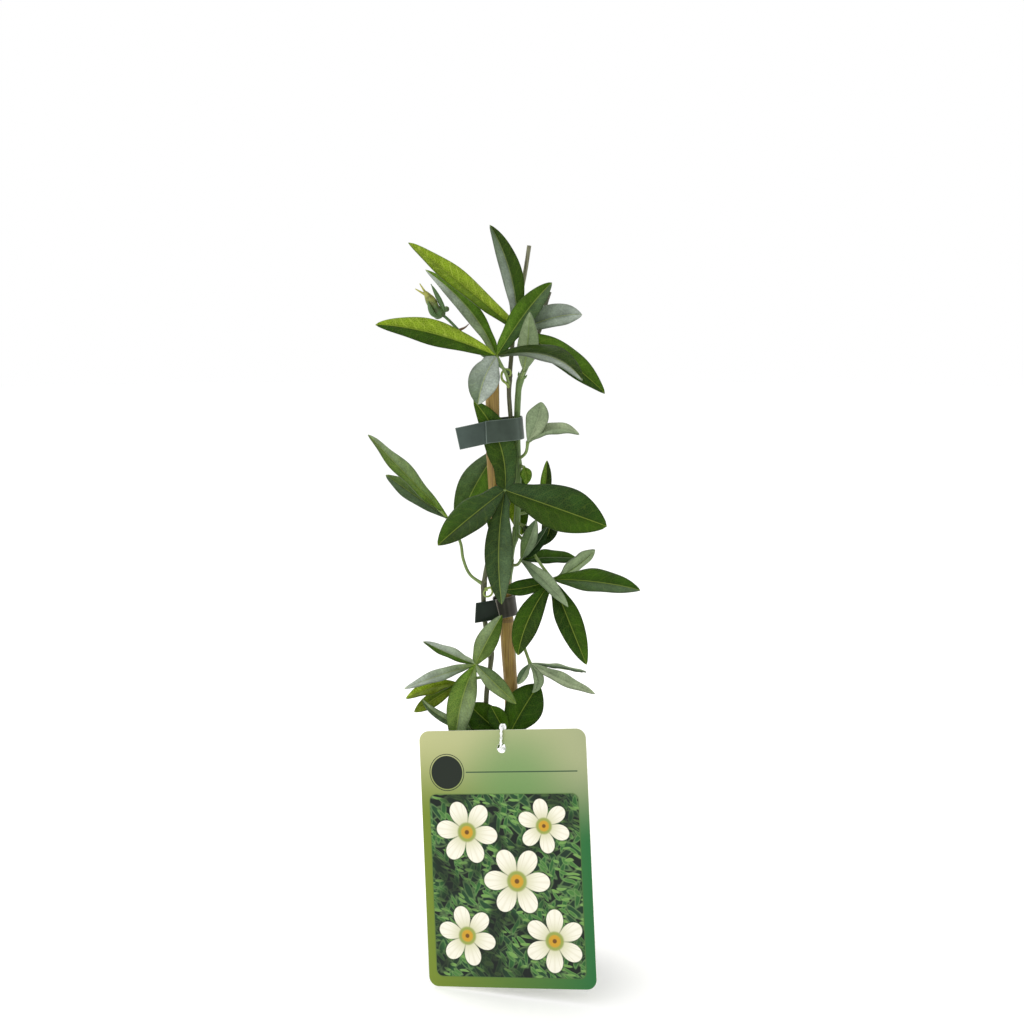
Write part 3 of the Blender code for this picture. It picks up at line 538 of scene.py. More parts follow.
def stem_radius(stem, share, point):
    """A taper, with a swelling at each joint that is a little longer below the joint than above."""
    foot, top = stem["radii"]
    share = max(0, (share - stem["full_to"]) / (1 - stem["full_to"]))
    swell = 0
    for joint in stem["joints"]:
        off = point.z - joint
        swell += hump(off, SWELL_BELOW if off < 0 else SWELL_ABOVE)
    return (foot + (top - foot) * share) * (1 + JOINT_SWELL * min(1, swell))


def stem_route(stem):
    low, high = Vector(stem["route"][0]), Vector(stem["route"][1])
    foot = low + (high - low) * (SOIL_TOP - ROOT_DEPTH - low.z) / (high.z - low.z)
    return [foot, *smooth_route(stem["route"], 1.0)]


def stem_at(stem, height):
    """The stem's middle at a height, and the way that it runs there."""
    route = stem_route(stem)
    index = min(range(1, len(route) - 1), key=lambda i: abs(route[i].z - height))
    return route[index], (route[index + 1] - route[index - 1]).normalized()


def stipule(stem, height, turn, length, skin):
    """A small pointed scale beside a joint of the stem."""
    middle, along = stem_at(stem, height)
    side = along.orthogonal().normalized()
    side.rotate(Matrix.Rotation(math.radians(turn), 3, along))
    path = [middle + side * 0.8, middle + side * 1.9 + along * length * 0.45,
            middle + side * 2.3 + along * length]
    return stalk("stipule", smooth_route(path, 0.4), lambda s, _p: 0.75 * (1 - s) ** 0.7 + 0.1,
                 skin, step=0.4, sides=8, depth=0.02)


# %% The stems with their scales
# Height on the front stem, turn round it and length of its dry brown scales
DRY_SCALES = (
    (121, 30, 5.5), (124, 150, 6.5), (127, 290, 5), (131, 90, 6), (134, 200, 4.5), (160, 120, 4),
    (338, 20, 4.5), (341, 200, 5), (344, 110, 3.5),
)

for name, skin, slot, stem in (
    ("stem_front_bark", woody, "stem_brown", FRONT_STEM),
    ("stem_back_green", green_stem, "stem_green", BACK_STEM),
):
    body = stalk(name, stem_route(stem), lambda s, p, stem=stem: stem_radius(stem, s, p), skin,
                 step=0.8, sides=12, depth=0.14, grain=2.2)
    scales = []
    for number, joint in enumerate(stem["joints"]):
        for turn in (40, 200):
            scales.append(stipule(stem, joint + 1, turn + 67 * number, 2.6, skin))
    if stem is FRONT_STEM:
        for height, turn, length in DRY_SCALES:
            scales.append(stipule(stem, height, turn, length, dry_brown))
    finished(fuse(name, [body, *scales]), slot, "stem_front" if stem is FRONT_STEM else "stem_back")

# %% [markdown]
# ## Leaf blades
#
# Passion flower leaves are cut into two to five long fingers that meet at the stalk. Each finger is a
# grid: rows along its rib, which is a curve with a foot, a middle and a tip, and columns across it.
# The outline is narrow at the foot, widest near the middle and bluntly pointed. Neighbouring fingers
# share the short web between them, so the whole blade is one skin. Each half of a finger bulges a
# little, the rib lies in a groove, and the margin waves gently. Solidify then gives the skin its
# thickness, with one material for the top, one for the underside and one for the rim.

# %% The tones that light gives a leaf
# A tone is the colour that the eye sees on the plant. The wax reflects the white room, which adds
# a little light to every colour, and the room is slightly brighter than white, so both are taken
# off before a tone goes into the mesh.
# Several tones are painted light: lit and gold are painted light that comes through a leaf, silver and grey
# are the wax's sheen painted on, and dusty is a greyish green that is partly that painted sheen.
TONES = {
    "deep": "#31461f", "teal": "#3b5334", "rich": "#30500e", "moss": "#406118", "fresh": "#5d842a",
    "lit": "#7c9a1c", "gold": "#8daa2c", "olive": "#667a1c", "grey": "#5f7655", "silver": "#b6c1b6",
    "pale": "#97aa83", "mint": "#aab992", "night": "#22390d", "dusty": "#6d8646",
}
WAX_SHEEN = 0.007
ROOM_LIGHT = 1.35


def base_tone(name):
    seen = np.array(colour(TONES[name]))
    return np.maximum((seen - WAX_SHEEN) / ROOM_LIGHT, 0.002)


print("tones:", len(TONES), "the darkest channel after the sheen is taken off:",
      round(float(min(base_tone(name).min() for name in TONES)), 4))

# %% One finger of a leaf
# How narrow a finger is at its foot, next to 1 where it is widest
FOOT_SHARE = 0.16


def lobe(tip, mid, width, face, minus, plus, fold=12, widest=0.48, wave=0.5):
    """One finger. minus and plus are the tones of its two halves, each a tone or "foot>tip"."""
    return {
        "tip": Vector(tip), "mid": Vector(mid), "width": width, "face": Vector(face),
        "fold": math.radians(fold), "widest": widest, "wave": wave,
        "tones": [[base_tone(t) for t in (tone.split(">") * 2)[:2]] for tone in (minus, plus)],
    }


def rib(junction, finger, t):
    bend = 2 * finger["mid"] - (junction + finger["tip"]) / 2
    return junction * (1 - t) ** 2 + 2 * bend * t * (1 - t) + finger["tip"] * t * t


def half_width(finger, t):
    """Narrow at the foot, widest near the middle, with a blunt point."""
    if t < finger["widest"]:
        share = FOOT_SHARE + (1 - FOOT_SHARE) * math.sin(math.pi / 2 * t / finger["widest"]) ** 1.3
    else:
        along = (t - finger["widest"]) / (1 - finger["widest"])
        share = max(0, math.cos(math.pi / 2 * along)) ** 0.75
    return finger["width"] / 2 * share


def axes(junction, finger, t):
    """The way along the rib, the way its top looks and the way across, at a share of the rib."""
    ahead = (rib(junction, finger, t + 0.01) - rib(junction, finger, t - 0.01)).normalized()
    up = (finger["face"] - ahead * finger["face"].dot(ahead)).normalized()
    return ahead, up, ahead.cross(up)


# %% The outline with its webs
# Neighbouring fingers share their margin up to WEB, as a share of the rib, and part over WEB_FADE
WEB = 0.1
WEB_FADE = 0.16


def edge(junction, finger, t, side):
    _ahead, up, across = axes(junction, finger, t)
    out = across * side * math.cos(finger["fold"]) + up * math.sin(finger["fold"])
    return rib(junction, finger, t) + out * half_width(finger, t)


def ease(x):
    x = min(1, max(0, x))
    return x * x * (3 - 2 * x)


def margin(junction, finger, web, t, side):
    """The outline, which near the foot runs along the web that the neighbour shares."""
    if t <= WEB:
        return junction.lerp(web, t / WEB)
    fade = 1 - ease((t - WEB) / WEB_FADE)
    shift = web - edge(junction, finger, WEB, side)
    return edge(junction, finger, t, side) + shift * fade


# %% The blade's grid
ROWS = 34
# Columns on each side of the rib
COLUMNS = 7
# How far each half bulges, next to its width, and how deep and wide in mm the rib's groove is
CAMBER = 0.1
GROOVE = 0.28
GROOVE_SPREAD = 0.8
# Waves of the margin along a finger, and the share of the rib over which they start
RIPPLES = 2.2
RIPPLE_FADE = 0.2
RIM_SHADE = 0.8
# Space between the blade coordinates of two fingers, so that their cells don't repeat
FINGER_SHIFT = 40


def tinted_mesh(name, points, faces, tints):
    """A mesh with a colour attribute named tint, which its skin reads."""
    mesh = bpy.data.meshes.new(name)
    mesh.from_pydata(points, [], faces)
    layer = mesh.color_attributes.new("tint", "FLOAT_COLOR", "POINT")
    layer.data.foreach_set("color", np.array(tints, np.float32).ravel())
    return mesh


def blade_grid(name, junction, fingers, rng):
    """The open skin of a whole leaf, with its tint and its blade coordinates."""
    webs = [edge(junction, fingers[0], WEB, -1)]
    for left, right in zip(fingers, fingers[1:]):
        webs.append((edge(junction, left, WEB, 1) + edge(junction, right, WEB, -1)) / 2)
    webs.append(edge(junction, fingers[-1], WEB, 1))
    points, tints, places, faces = [], [], [], []
    for index, finger in enumerate(fingers):
        first = len(points)
        length = (finger["tip"] - junction).length
        phase = rng.uniform(0, 6.28, 2)
        for row in range(ROWS + 1):
            t = row / ROWS
            middle = rib(junction, finger, t)
            _ahead, up, _across = axes(junction, finger, t)
            free = ease((t - WEB) / RIPPLE_FADE) * math.sin(math.pi * t) ** 0.5
            for column in range(-COLUMNS, COLUMNS + 1):
                side = 1 if column > 0 else -1
                share = abs(column) / COLUMNS
                out = margin(junction, finger, webs[index + (side > 0)], t, side) - middle
                reach = out.length
                ripple = math.sin(2 * math.pi * RIPPLES * t + phase[int(side > 0)])
                lift = CAMBER * reach * 4 * share * (1 - share)
                lift += finger["wave"] * ripple * share ** 2 * free
                lift -= GROOVE * hump(share * reach, GROOVE_SPREAD) * ease(t * 8) * (1 - t)
                points.append((middle + out * share + up * lift) * MM)
                minus, plus = [a * (1 - t) + b * t for a, b in finger["tones"]]
                blend = ease(0.5 + column / 2.0)
                tint = minus * (1 - blend) + plus * blend
                # Painted shading: each half is lighter in its middle, where it bulges, and darker at the
                # rib and the margin, and the margin's waves are painted lighter and darker as they rise and
                # fall.
                body = 0.86 + 0.2 * math.sin(math.pi * share) + 0.06 * ripple * share
                tints.append(tint * body * (RIM_SHADE if share > 0.95 else 1))
                places.append((side * share * reach * MM, (t * length + FINGER_SHIFT * index) * MM))
        wide = 2 * COLUMNS + 1
        for row in range(ROWS):
            for column in range(wide - 1):
                a = first + row * wide + column
                faces.append((a, a + 1, a + wide + 1, a + wide))
    mesh = tinted_mesh(name, points, faces, tints)
    blade = mesh.uv_layers.new(name="blade")
    corners = np.zeros(len(mesh.loops), np.int32)
    mesh.loops.foreach_get("vertex_index", corners)
    blade.data.foreach_set("uv", np.array(places, np.float32)[corners].ravel())
    work = bmesh.new()
    work.from_mesh(mesh)
    bmesh.ops.remove_doubles(work, verts=work.verts, dist=0.002 * MM)
    bmesh.ops.dissolve_degenerate(work, edges=work.edges, dist=0.002 * MM)
    work.to_mesh(mesh)
    work.free()
    return mesh


# %% A whole leaf
BLADE_THICKNESS = 0.6
PETIOLE_RADIUS = 0.9
# Each raised rib below the blade: its points, where it starts and how long it is as shares of the
# finger, and how deep in mm it lies
RIB_STEPS = 12
RIB_START = 0.03
RIB_LENGTH = 0.9
RIB_SINK = 0.3


def make_leaf(node, slot, junction, way, lobes, seed):
    """A leaf on its stalk. way is (stem, height, points between), and the stalk starts in the stem."""
    rng = np.random.default_rng(seed)
    junction = Vector(junction)
    fingers = [lobe(*row) for row in lobes]
    upper = downy_young if slot == "leaf_pale" else waxy_upper
    mesh = blade_grid(node + "_blade", junction, fingers, rng)
    blade = show(bpy.data.objects.new(node + "_blade", mesh))
    for skin in (upper, matt_under, leaf_rim):
        mesh.materials.append(skin)
    thick = blade.modifiers.new("thickness", "SOLIDIFY")
    thick.thickness = BLADE_THICKNESS * MM
    thick.offset = 0
    thick.material_offset = 1
    thick.material_offset_rim = 2
    blade = plain(blade)
    blade.data.shade_smooth()
    stem, height, between = way
    start, _along = stem_at(stem, height)
    points = [Vector(point) for point in between]
    last = (points or [start])[-1]
    route = smooth_route([start, *points, junction + (junction - last).normalized() * 0.5], 1.0)

    def petiole_radius(share, _point):
        """The stalk swells where it leaves the stem and where it meets the blade."""
        return PETIOLE_RADIUS * (0.86 + 0.3 * hump(1 - share, 0.1) + 0.35 * hump(share, 0.08))

    pieces = [blade, stalk(node + "_stalk", route, petiole_radius, petiole_skin, step=0.8, sides=10)]
    for index, finger in enumerate(fingers):
        ribs = []
        for step in range(RIB_STEPS + 1):
            t = RIB_START + RIB_LENGTH * step / RIB_STEPS
            _ahead, up, _across = axes(junction, finger, t)
            ribs.append(rib(junction, finger, t) - up * (GROOVE + RIB_SINK))
        pieces.append(stalk(f"{node}_rib_{index}", ribs, lambda s, _p: 0.5 - 0.36 * s, petiole_skin,
                            step=1.6, sides=6, depth=0.0))
    return finished(fuse(node + "_leaf", pieces), slot, node)


# %% [markdown]
# ## The leaves, one by one
#
# Each leaf repeats the places of its solid: where its fingers meet, where its stalk leaves the stem,
# and each finger's tip, middle, width and the way its top looks. The tones say how each half of each
# finger looks in the light: deep and rich for shaded dark leaves, lit where the sun comes through,
# silver where the wax reflects the sky. A row is the leaf's name, its slot, the place where its
# fingers meet, its way from the stem, and then what lobe() takes for each finger.

# %% Leaves at the top
TOP_LEAVES = [
    ("leaf_top_front", "leaf_dark", (-8.5, -13, 311.5), (FRONT_STEM, 297, [(-4.2, -8.6, 303)]), [
        ((-17.5, -18, 288.5), (-14.5, -20, 301), 15, (0, -1, 0.1), "silver", "silver>grey", 8, 0.5),
        ((-66.5, -28, 327.5), (-39, -22.5, 323), 14, (0, -0.85, 0.55), "moss>rich", "gold>lit", 8),
        ((-44, 9, 353), (-21.8, -3, 333.5), 9, (-0.2, -0.9, 0.4), "dusty>silver", "moss>fresh"),
        ((18.5, -6, 347), (5.5, -12, 332.5), 12, (0.05, -0.9, 0.4), "fresh>moss", "rich>grey"),
        ((32.5, -40, 301.5), (16, -28, 312.5), 14, (0.1, -0.55, 0.8), "deep", "deep>silver", 16),
    ]),
    ("leaf_top_back", "leaf_fresh", (2, -4, 323), (BACK_STEM, 317, [(6, -0.6, 319)]), [
        ((-50.5, -26, 366.5), (-25, -18, 346.2), 12.5, (0.1, -0.75, 0.65), "moss>lit", "gold>lit"),
        ((-12, 5, 375), (-2, 0.5, 351.5), 12, (0.3, -0.95, 0.1), "silver>grey", "moss>deep", 25),
        ((33.5, 2, 331), (18.5, -4, 329.5), 14, (0.15, -0.8, 0.6), "rich>silver", "grey>silver", 20, 0.55),
        ((44.5, -10, 293), (24.5, -7, 309.8), 14.5, (0.3, -0.9, 0.5), "fresh>moss", "deep>rich", 14),
    ]),
    ("leaf_young_top", "leaf_pale", (4.8, -3.8, 303.5), (BACK_STEM, 299, []), [
        ((7.5, -23.5, 333.5), (6.6, -16.2, 317.4), 11, (0.2, 0.9, 0.5), "pale", "mint", 18, 0.4),
    ]),
]
for seed, leaf in enumerate(TOP_LEAVES, 11):
    make_leaf(*leaf, seed)

# %% Leaves in the middle
MIDDLE_LEAVES = [
    ("leaf_centre_front", "leaf_dark", (-4.5, -12.5, 245.5), (FRONT_STEM, 236, [(-4.7, -11.3, 240)]), [
        ((-37, -32, 221), (-21.5, -24, 233.5), 17, (-0.1, -0.85, 0.5), "teal>deep", "teal>moss"),
        ((-20, -7.6, 289.5), (-7.2, -4.6, 268), 15, (0, -1, 0.02), "deep>moss", "teal>moss", 2, 0.45, 0.2),
        ((45, -30, 230), (20.5, -24, 238.2), 24, (0.05, -0.9, 0.45), "teal>rich", "deep>moss", 12, 0.57),
        ((-6, -24, 190.5), (-7.5, -22, 218.5), 14, (0, -1, 0), "teal>grey", "deep>teal", 10, 0.55),
    ]),
    ("leaf_centre_back", "leaf_dark", (-7, 8.5, 264.5), (BACK_STEM, 257, [(-2.5, 7, 261.5)]), [
        ((4, 10, 219.5), (0, 12, 241.5), 14, (0, -1, 0.2), "moss", "moss>lit"),
        ((-12, 15, 219.5), (-9, 14.5, 242), 11, (0, -1, 0.2), "moss", "rich"),
        ((-28.5, 12, 224), (-19.5, 12.5, 244.5), 17, (-0.2, -1, 0.2), "moss>fresh", "grey>moss"),
    ]),
    ("leaf_small_right", "leaf_dark", (4.6, -0.4, 255.6), (BACK_STEM, 256.5, []), [
        ((6, -1.4, 247), (6, -0.8, 251.5), 6, (0.1, -1, 0.2), "fresh", "fresh", 8, 0.4, 0.1),
    ]),
    ("leaf_pale_right", "leaf_pale", (6.8, -5.8, 268.5), (BACK_STEM, 259, [(5.8, -2.8, 263)]), [
        ((13.5, -6, 288.5), (11.4, -7.5, 279), 12, (-0.3, -0.9, 0.3), "pale", "mint>pale", 12, 0.55),
        ((32, -12, 273), (19, -10, 275.2), 9, (0.1, -0.6, 0.8), "mint", "pale"),
    ]),
    ("leaf_left", "leaf_fresh", (-32.5, 2, 229),
     (FRONT_STEM, 197, [(-22, -4.4, 202), (-25.4, -2.4, 209.5), (-27, -0.6, 218)]), [
        ((-64.5, 8, 250.5), (-50.5, 5, 241), 11, (0.45, -0.75, 0.5), "grey", "grey>dusty"),
        ((-72, -8, 272.5), (-54, -4, 252.3), 10.5, (0.62, -0.66, 0.5),
         "fresh>dusty", "fresh>pale", 12, 0.48, 0.9),
    ]),
    ("leaf_right", "leaf_dark", (19, -14, 201), (BACK_STEM, 222, [(7.4, -3, 216), (13, -10, 208.5)]), [
        ((35.5, -30, 161.5), (27.2, -24, 181.5), 13, (0.1, -0.95, 0.25), "rich>moss", "night>rich"),
        ((2, -22, 164.5), (7.5, -20, 183), 13, (-0.1, -0.95, 0.25), "rich>deep", "rich>moss", 12, 0.55),
        ((-6.5, -12, 195.5), (6, -14, 197), 9, (0, -0.8, 0.6), "rich", "rich"),
        ((40.5, -4, 214.5), (31, -8, 207), 11, (0.4, 0.65, 0.65), "pale", "pale"),
        ((61.5, -30, 198.5), (40.5, -24, 201.5), 14, (0, -0.7, 0.7), "moss>rich", "rich>grey"),
    ]),
    ("leaf_pale_middle", "leaf_pale", (3.5, -6.5, 209.5),
     (BACK_STEM, 205, [(1.4, 0.6, 206), (2.8, -3.4, 208)]), [
        ((11, -13, 231), (7.4, -11, 219.5), 8, (-0.3, -0.9, 0.2), "dusty>grey", "grey>pale", 10, 0.55, 0.2),
        ((16.5, -9, 227), (10.5, -9, 217), 6, (0.3, -0.9, 0.3), "teal", "night", 10, 0.6, 0.2),
        ((32, 6, 208), (18.5, 1, 209.5), 10, (0, -0.6, 0.8), "moss", "rich"),
        ((26.5, -26, 189.5), (15, -19.5, 201.5), 8, (0.3, -0.8, 0.5), "pale", "grey>pale"),
    ]),
    ("leaf_right_back", "leaf_dark", (14.5, 4, 236), (BACK_STEM, 231, [(9, 3.5, 233)]), [
        ((16.5, 4, 258.5), (16, 4.5, 247.5), 6, (0, -1, 0), "fresh", "deep", 20, 0.48, 0.2),
        ((13, 8, 214.5), (18, 8, 224.5), 9, (0.2, -1, 0), "night", "deep"),
    ]),
    ("leaf_curled_middle", "leaf_dark", (5, -0.8, 226), (BACK_STEM, 227.5, []), [
        ((9, -3.4, 219.6), (6.8, -2.8, 223.4), 6, (0.2, -0.6, 0.8), "teal", "deep", 30, 0.5, 0.1),
    ]),
]
for seed, leaf in enumerate(MIDDLE_LEAVES, 14):
    make_leaf(*leaf, seed)

# %% Leaves at the foot
LOW_LEAVES = [
    ("leaf_low_front", "leaf_dark", (-19, -16, 158.5), (FRONT_STEM, 162, [(-15.5, -12, 160.5)]), [
        ((1, -20, 139.5), (-10, -21, 150.5), 9, (0.2, -0.9, 0.4), "grey>dusty", "pale>dusty"),
        ((-29.5, -12.5, 116), (-26, -19, 141), 14, (0, -1, 0.1), "dusty>pale", "fresh>dusty"),
        ((-54, -26, 148.5), (-36, -22, 154.5), 7.5, (0, -0.6, 0.8), "moss>silver", "dusty>silver"),
        ((-45.5, -8, 168.5), (-32, -12, 162.8), 7.5, (0.1, -0.6, 0.8), "moss", "pale>silver", 20),
        ((-6, -10.5, 182.5), (-13.5, -15.5, 170), 11, (-0.2, -0.95, 0.1), "dusty>pale", "dusty>moss"),
    ]),
    ("leaf_low_left", "leaf_fresh", (-28, -5, 146.5), (FRONT_STEM, 150, [(-21, -5.8, 149)]), [
        ((-50.5, 0, 130.5), (-40, -2.5, 138), 8, (0, -0.9, 0.45), "olive", "moss>olive"),
        ((-54, -13, 140.5), (-41, -10.5, 145.5), 8, (0, -0.7, 0.7), "olive", "olive>lit", 12, 0.48, 0.8),
    ]),
    ("leaf_low_right", "leaf_pale", (8, -8, 157.5),
     (BACK_STEM, 168, [(3.8, 4.2, 166.5), (5.8, -2, 162.5)]), [
        ((36.5, -2, 151.5), (23, -4, 154.6), 7, (0, -0.05, 1), "pale", "grey", 4),
        ((40, -24, 145.5), (23.5, -16.5, 151), 8, (0.1, -0.5, 0.85), "pale>mint", "mint"),
        ((9, -12.5, 143.5), (12, -11, 150), 6, (0.3, -0.9, 0), "pale", "pale", 25, 0.48, 0.2),
        ((2, -14, 148), (4.6, -11.5, 152), 5, (-0.3, -0.9, 0.2), "pale", "grey", 12, 0.48, 0.2),
    ]),
    ("leaf_base", "leaf_dark", (-3, -9.5, 120), (FRONT_STEM, 112, [(-7.4, -8.6, 115)]), [
        ((-46.5, -6, 139), (-32, -7.5, 127.5), 5, (0.2, -0.9, 0.3), "grey", "pale", 12, 0.48, 0.2),
        ((-22.5, -9, 137), (-14.5, -9.8, 129), 16, (-0.1, -1, 0.1), "rich", "moss", 6, 0.55),
        ((-11.5, -13, 136.5), (-8, -13, 130), 10, (0, -1, 0.3), "rich", "moss", 12, 0.55, 0.2),
        ((12.5, -5, 146), (4, -9.5, 133.5), 19, (0.1, -1, 0.2), "moss>rich", "rich", 8, 0.58),
    ]),
]
for seed, leaf in enumerate(LOW_LEAVES, 23):
    make_leaf(*leaf, seed)

# %% [markdown]
# ## Tendrils
#
# A passion flower holds on with thin tendrils that coil like springs. Each one here leaves the front
# stem, curls close beside it, and gets thinner towards its end.

# %% Tendrils on the front stem
TENDRILS = {
    "tendril_upper": (295, 0.75, [
        (-3.6, -4, 297.4), (-5.6, -5, 299.2), (-6.2, -5.6, 301.8), (-5, -6, 304.2), (-2.9, -6, 304.7),
        (-1.6, -5.8, 303.2), (-2.3, -5.5, 301.4), (-3.9, -5.3, 301.6), (-4.1, -5.2, 302.8),
    ]),
    "tendril_lower": (194.5, 0.7, [
        (-13.4, -8, 195.6), (-11.6, -9.4, 196.2), (-10.7, -10.2, 194.4), (-11.6, -10.9, 192.6),
        (-13.6, -11.2, 192), (-15, -11.2, 193.2), (-14.6, -11, 194.9), (-13, -11, 195.2),
    ]),
}

for node, (height, thickness, curl) in TENDRILS.items():
    route = smooth_route([stem_at(FRONT_STEM, height)[0], *curl], 0.35)
    made = stalk(node + "_coil", route, lambda s, _p, r=thickness: r * (1 - 0.45 * s), tendril_skin,
                 step=0.35, sides=10, depth=0.05, grain=1.2)
    finished(made, "tendril", node)

# %% [markdown]
# ## Shapes turned round an axis
#
# The bud, the pot and the soil are turned shapes: a profile of radius and height goes round an axis.
# When the profile starts at the middle of the underside, runs up the outside and comes back in over
# the top, every face looks outwards without any correction. A small function can push each point in
# or out by its angle, for the bud's five ridges or the soil's lumps.

# %% Turned shapes
def turned(name, profile, sides, skin, push=None, placed=None):
    """A closed shape from (radius, height) points in mm, with its poles merged."""
    points, faces = [], []
    for radius, height in profile:
        for step in range(sides):
            angle = 2 * math.pi * step / sides
            r, z = push(angle, radius, height) if push else (radius, height)
            points.append(Vector((r * math.cos(angle), r * math.sin(angle), z)) * MM)
    for row in range(len(profile) - 1):
        for step in range(sides):
            a, b = row * sides + step, row * sides + (step + 1) % sides
            faces.append((a, b, b + sides, a + sides))
    mesh = bpy.data.meshes.new(name)
    mesh.from_pydata(points, [], faces)
    work = bmesh.new()
    work.from_mesh(mesh)
    bmesh.ops.remove_doubles(work, verts=work.verts, dist=0.001 * MM)
    work.to_mesh(mesh)
    work.free()
    if placed:
        mesh.transform(placed)
    mesh.materials.append(skin)
    mesh.shade_smooth()
    return show(bpy.data.objects.new(name, mesh))


def smooth_profile(profile, step):
    return [(p.x, p.z) for p in smooth_route([(r, 0, z) for r, z in profile], step)]


# %% [markdown]
# ## The flower bud
#
# One bud stands out at the upper left on a bent stalk. It has a round base, five sepals that close
# over it with fine horns at their tips, and narrow bracts at its foot. The sepals show as five soft
# ridges, and its tip is more yellow than its base.

# %% Where the bud stands
BUD_BASE = Vector((-37, -12, 332.5))
BUD_TIP = Vector((-43.6, -13.5, 343.5))
BUD_STALK = [(-8, -5.4, 307), (-17.5, -8.5, 313.5), (-28, -10.5, 325), (-33.5, -11.4, 330.5)]
BUD_HORNS = ((-45.8, -14, 346.8), (-48, -12.6, 344.2))
BRACTS = (
    [(-34, -11.6, 331.2), (-34.6, -12, 335), (-37.6, -12.8, 341.4), (-40.4, -13, 346.6)],
    [(-36.4, -12.4, 330.4), (-39.4, -14.8, 332.2), (-40.9, -15.6, 335.2), (-41.8, -15.6, 338.4)],
)
BUD_PROFILE = [
    (0.02, -3), (1.7, -2.55), (2.6, -1.5), (2.9, 0), (2.55, 1.7), (2.2, 2.8), (2.35, 4.3),
    (2.55, 5.6), (2.4, 7.6), (1.9, 9.3), (1.3, 10.9), (0.8, 12), (0.02, 12.8),
]

print("bud length in mm:", BUD_PROFILE[-1][1] - BUD_PROFILE[0][1])

# %% The bud's skin
# Smooth green that turns yellow at the tip, with olive mottling and a soft sheen.
bud_skin, tree, shader = new_material("flower bud sepals")
place = add(tree, "TexCoord").outputs["Object"]
z = add(tree, "SeparateXYZ", {0: place}).outputs[2]
mottle = add(tree, "TexNoise", {"Vector": place, "Scale": 1 / (2.5 * MM), "Detail": 3})
ground = lay_over(tree, "#456530", "#b0ad4c", z, 335 * MM, 344 * MM, curve="LINEAR")
final = lay_over(tree, ground, "#3c3a18", mottle, 0.42, 0.66, 0, 0.75, "LINEAR")
bump = add(tree, "Bump", {"Height": mottle, "Strength": 0.5, "Distance": 0.15 * MM})
plug(shader, {"Base Color": final, "Roughness": 0.45, "Normal": bump})

# %% The bud on its stalk, with horns and bracts
bud_turn = (BUD_TIP - BUD_BASE).to_track_quat("Z", "Y").to_matrix().to_4x4()
bud_place = Matrix.Translation(BUD_BASE * MM) @ bud_turn
pieces = [
    turned("bud", smooth_profile(BUD_PROFILE, 0.5), 40, bud_skin,
           lambda a, r, z: (r * (1 + 0.09 * abs(math.cos(2.5 * a)) - 0.05), z), bud_place),
    stalk("bud stalk", smooth_route([stem_at(FRONT_STEM, 302)[0], *BUD_STALK, BUD_BASE], 1),
          lambda s, _p: 0.72 + 0.25 * hump(s, 0.06), bract_skin, step=0.8),
]
for end in BUD_HORNS:
    neck = BUD_BASE.lerp(BUD_TIP, 0.75)
    pieces.append(stalk("bud horn", smooth_route([neck, (neck + Vector(end)) / 2, end], 0.4),
                        lambda s, _p: 0.85 - 0.62 * s, bud_skin, step=0.4, sides=8, depth=0.02))
for route in BRACTS:
    pieces.append(stalk("bract", smooth_route(route, 0.5),
                        lambda s, _p: 0.25 + 1.05 * math.sin(math.pi * min(1, s + 0.06)) ** 0.8,
                        bract_skin, step=0.5, sides=10, depth=0.1, grain=1.5))
NODULE = Matrix.Translation(Vector((-33, -11.8, 334.4)) * MM)
pieces.append(turned("nodule", smooth_profile([(0.02, -1.5), (1.1, -1), (1.45, 0), (1.1, 1),
                                               (0.02, 1.5)], 0.4), 20, bud_skin, placed=NODULE))
thorn = smooth_route([(-27, -10.2, 324), (-24, -9.8, 325.4), (-21.5, -9.4, 327.6)], 0.4)
pieces.append(stalk("bract point", thorn, lambda s, _p: 0.75 * (1 - s) + 0.08, dry_brown,
                    step=0.4, sides=8, depth=0.02))
finished(fuse("bud_on_stalk", pieces), "bud", "flower_bud")

# %% [markdown]
# ## Plastic ties
#
# Two soft plastic strips hold the stems to the cane, each wound round once with a free end to the
# left. Their paths in plan repeat the solids'. The section is a flat rectangle with rounded edges,
# swept along the path in mesh code, because a strip has to stay upright all the way. The plastic is
# satin, and a painted highlight makes it paler at its cut ends, at its bends and along its edges.

# %% The ties' paths in plan
UPPER_TIE = [
    (-14, -8.2), (-10, -7.8), (-6, -7.2), (0.4, -6.2), (2.8, -5), (4.1, -2.4), (4.4, 1),
    (4, 4.4), (2, 6.2), (-2, 6), (-8, 5), (-12, 4.4), (-14.6, 2.6), (-15.6, 0.6),
]
UPPER_TAIL = [(-28.5, -8.1), (-24, -8), (-19, -7.7), (-14.5, -7.3), (-10.5, -6.6)]
LOWER_TIE = [
    (-19.5, -8.9), (-14, -8.4), (-9, -7.2), (-4.8, -5.5), (-2.4, -4.7), (-0.4, -2.6), (0.1, 1),
    (0.2, 5.6), (-0.5, 9), (-3, 10.4), (-6, 9.2), (-8.6, 5), (-9.9, 0.6), (-9.6, -3),
]
LOWER_LAYER = [(-8.2, -7.9), (-5.2, -6.5), (-2.4, -5.6), (-0.3, -3.9), (0.7, -1.4), (0.9, 1)]
print("points in the ties' paths:", len(UPPER_TIE), len(UPPER_TAIL), len(LOWER_TIE), len(LOWER_LAYER))


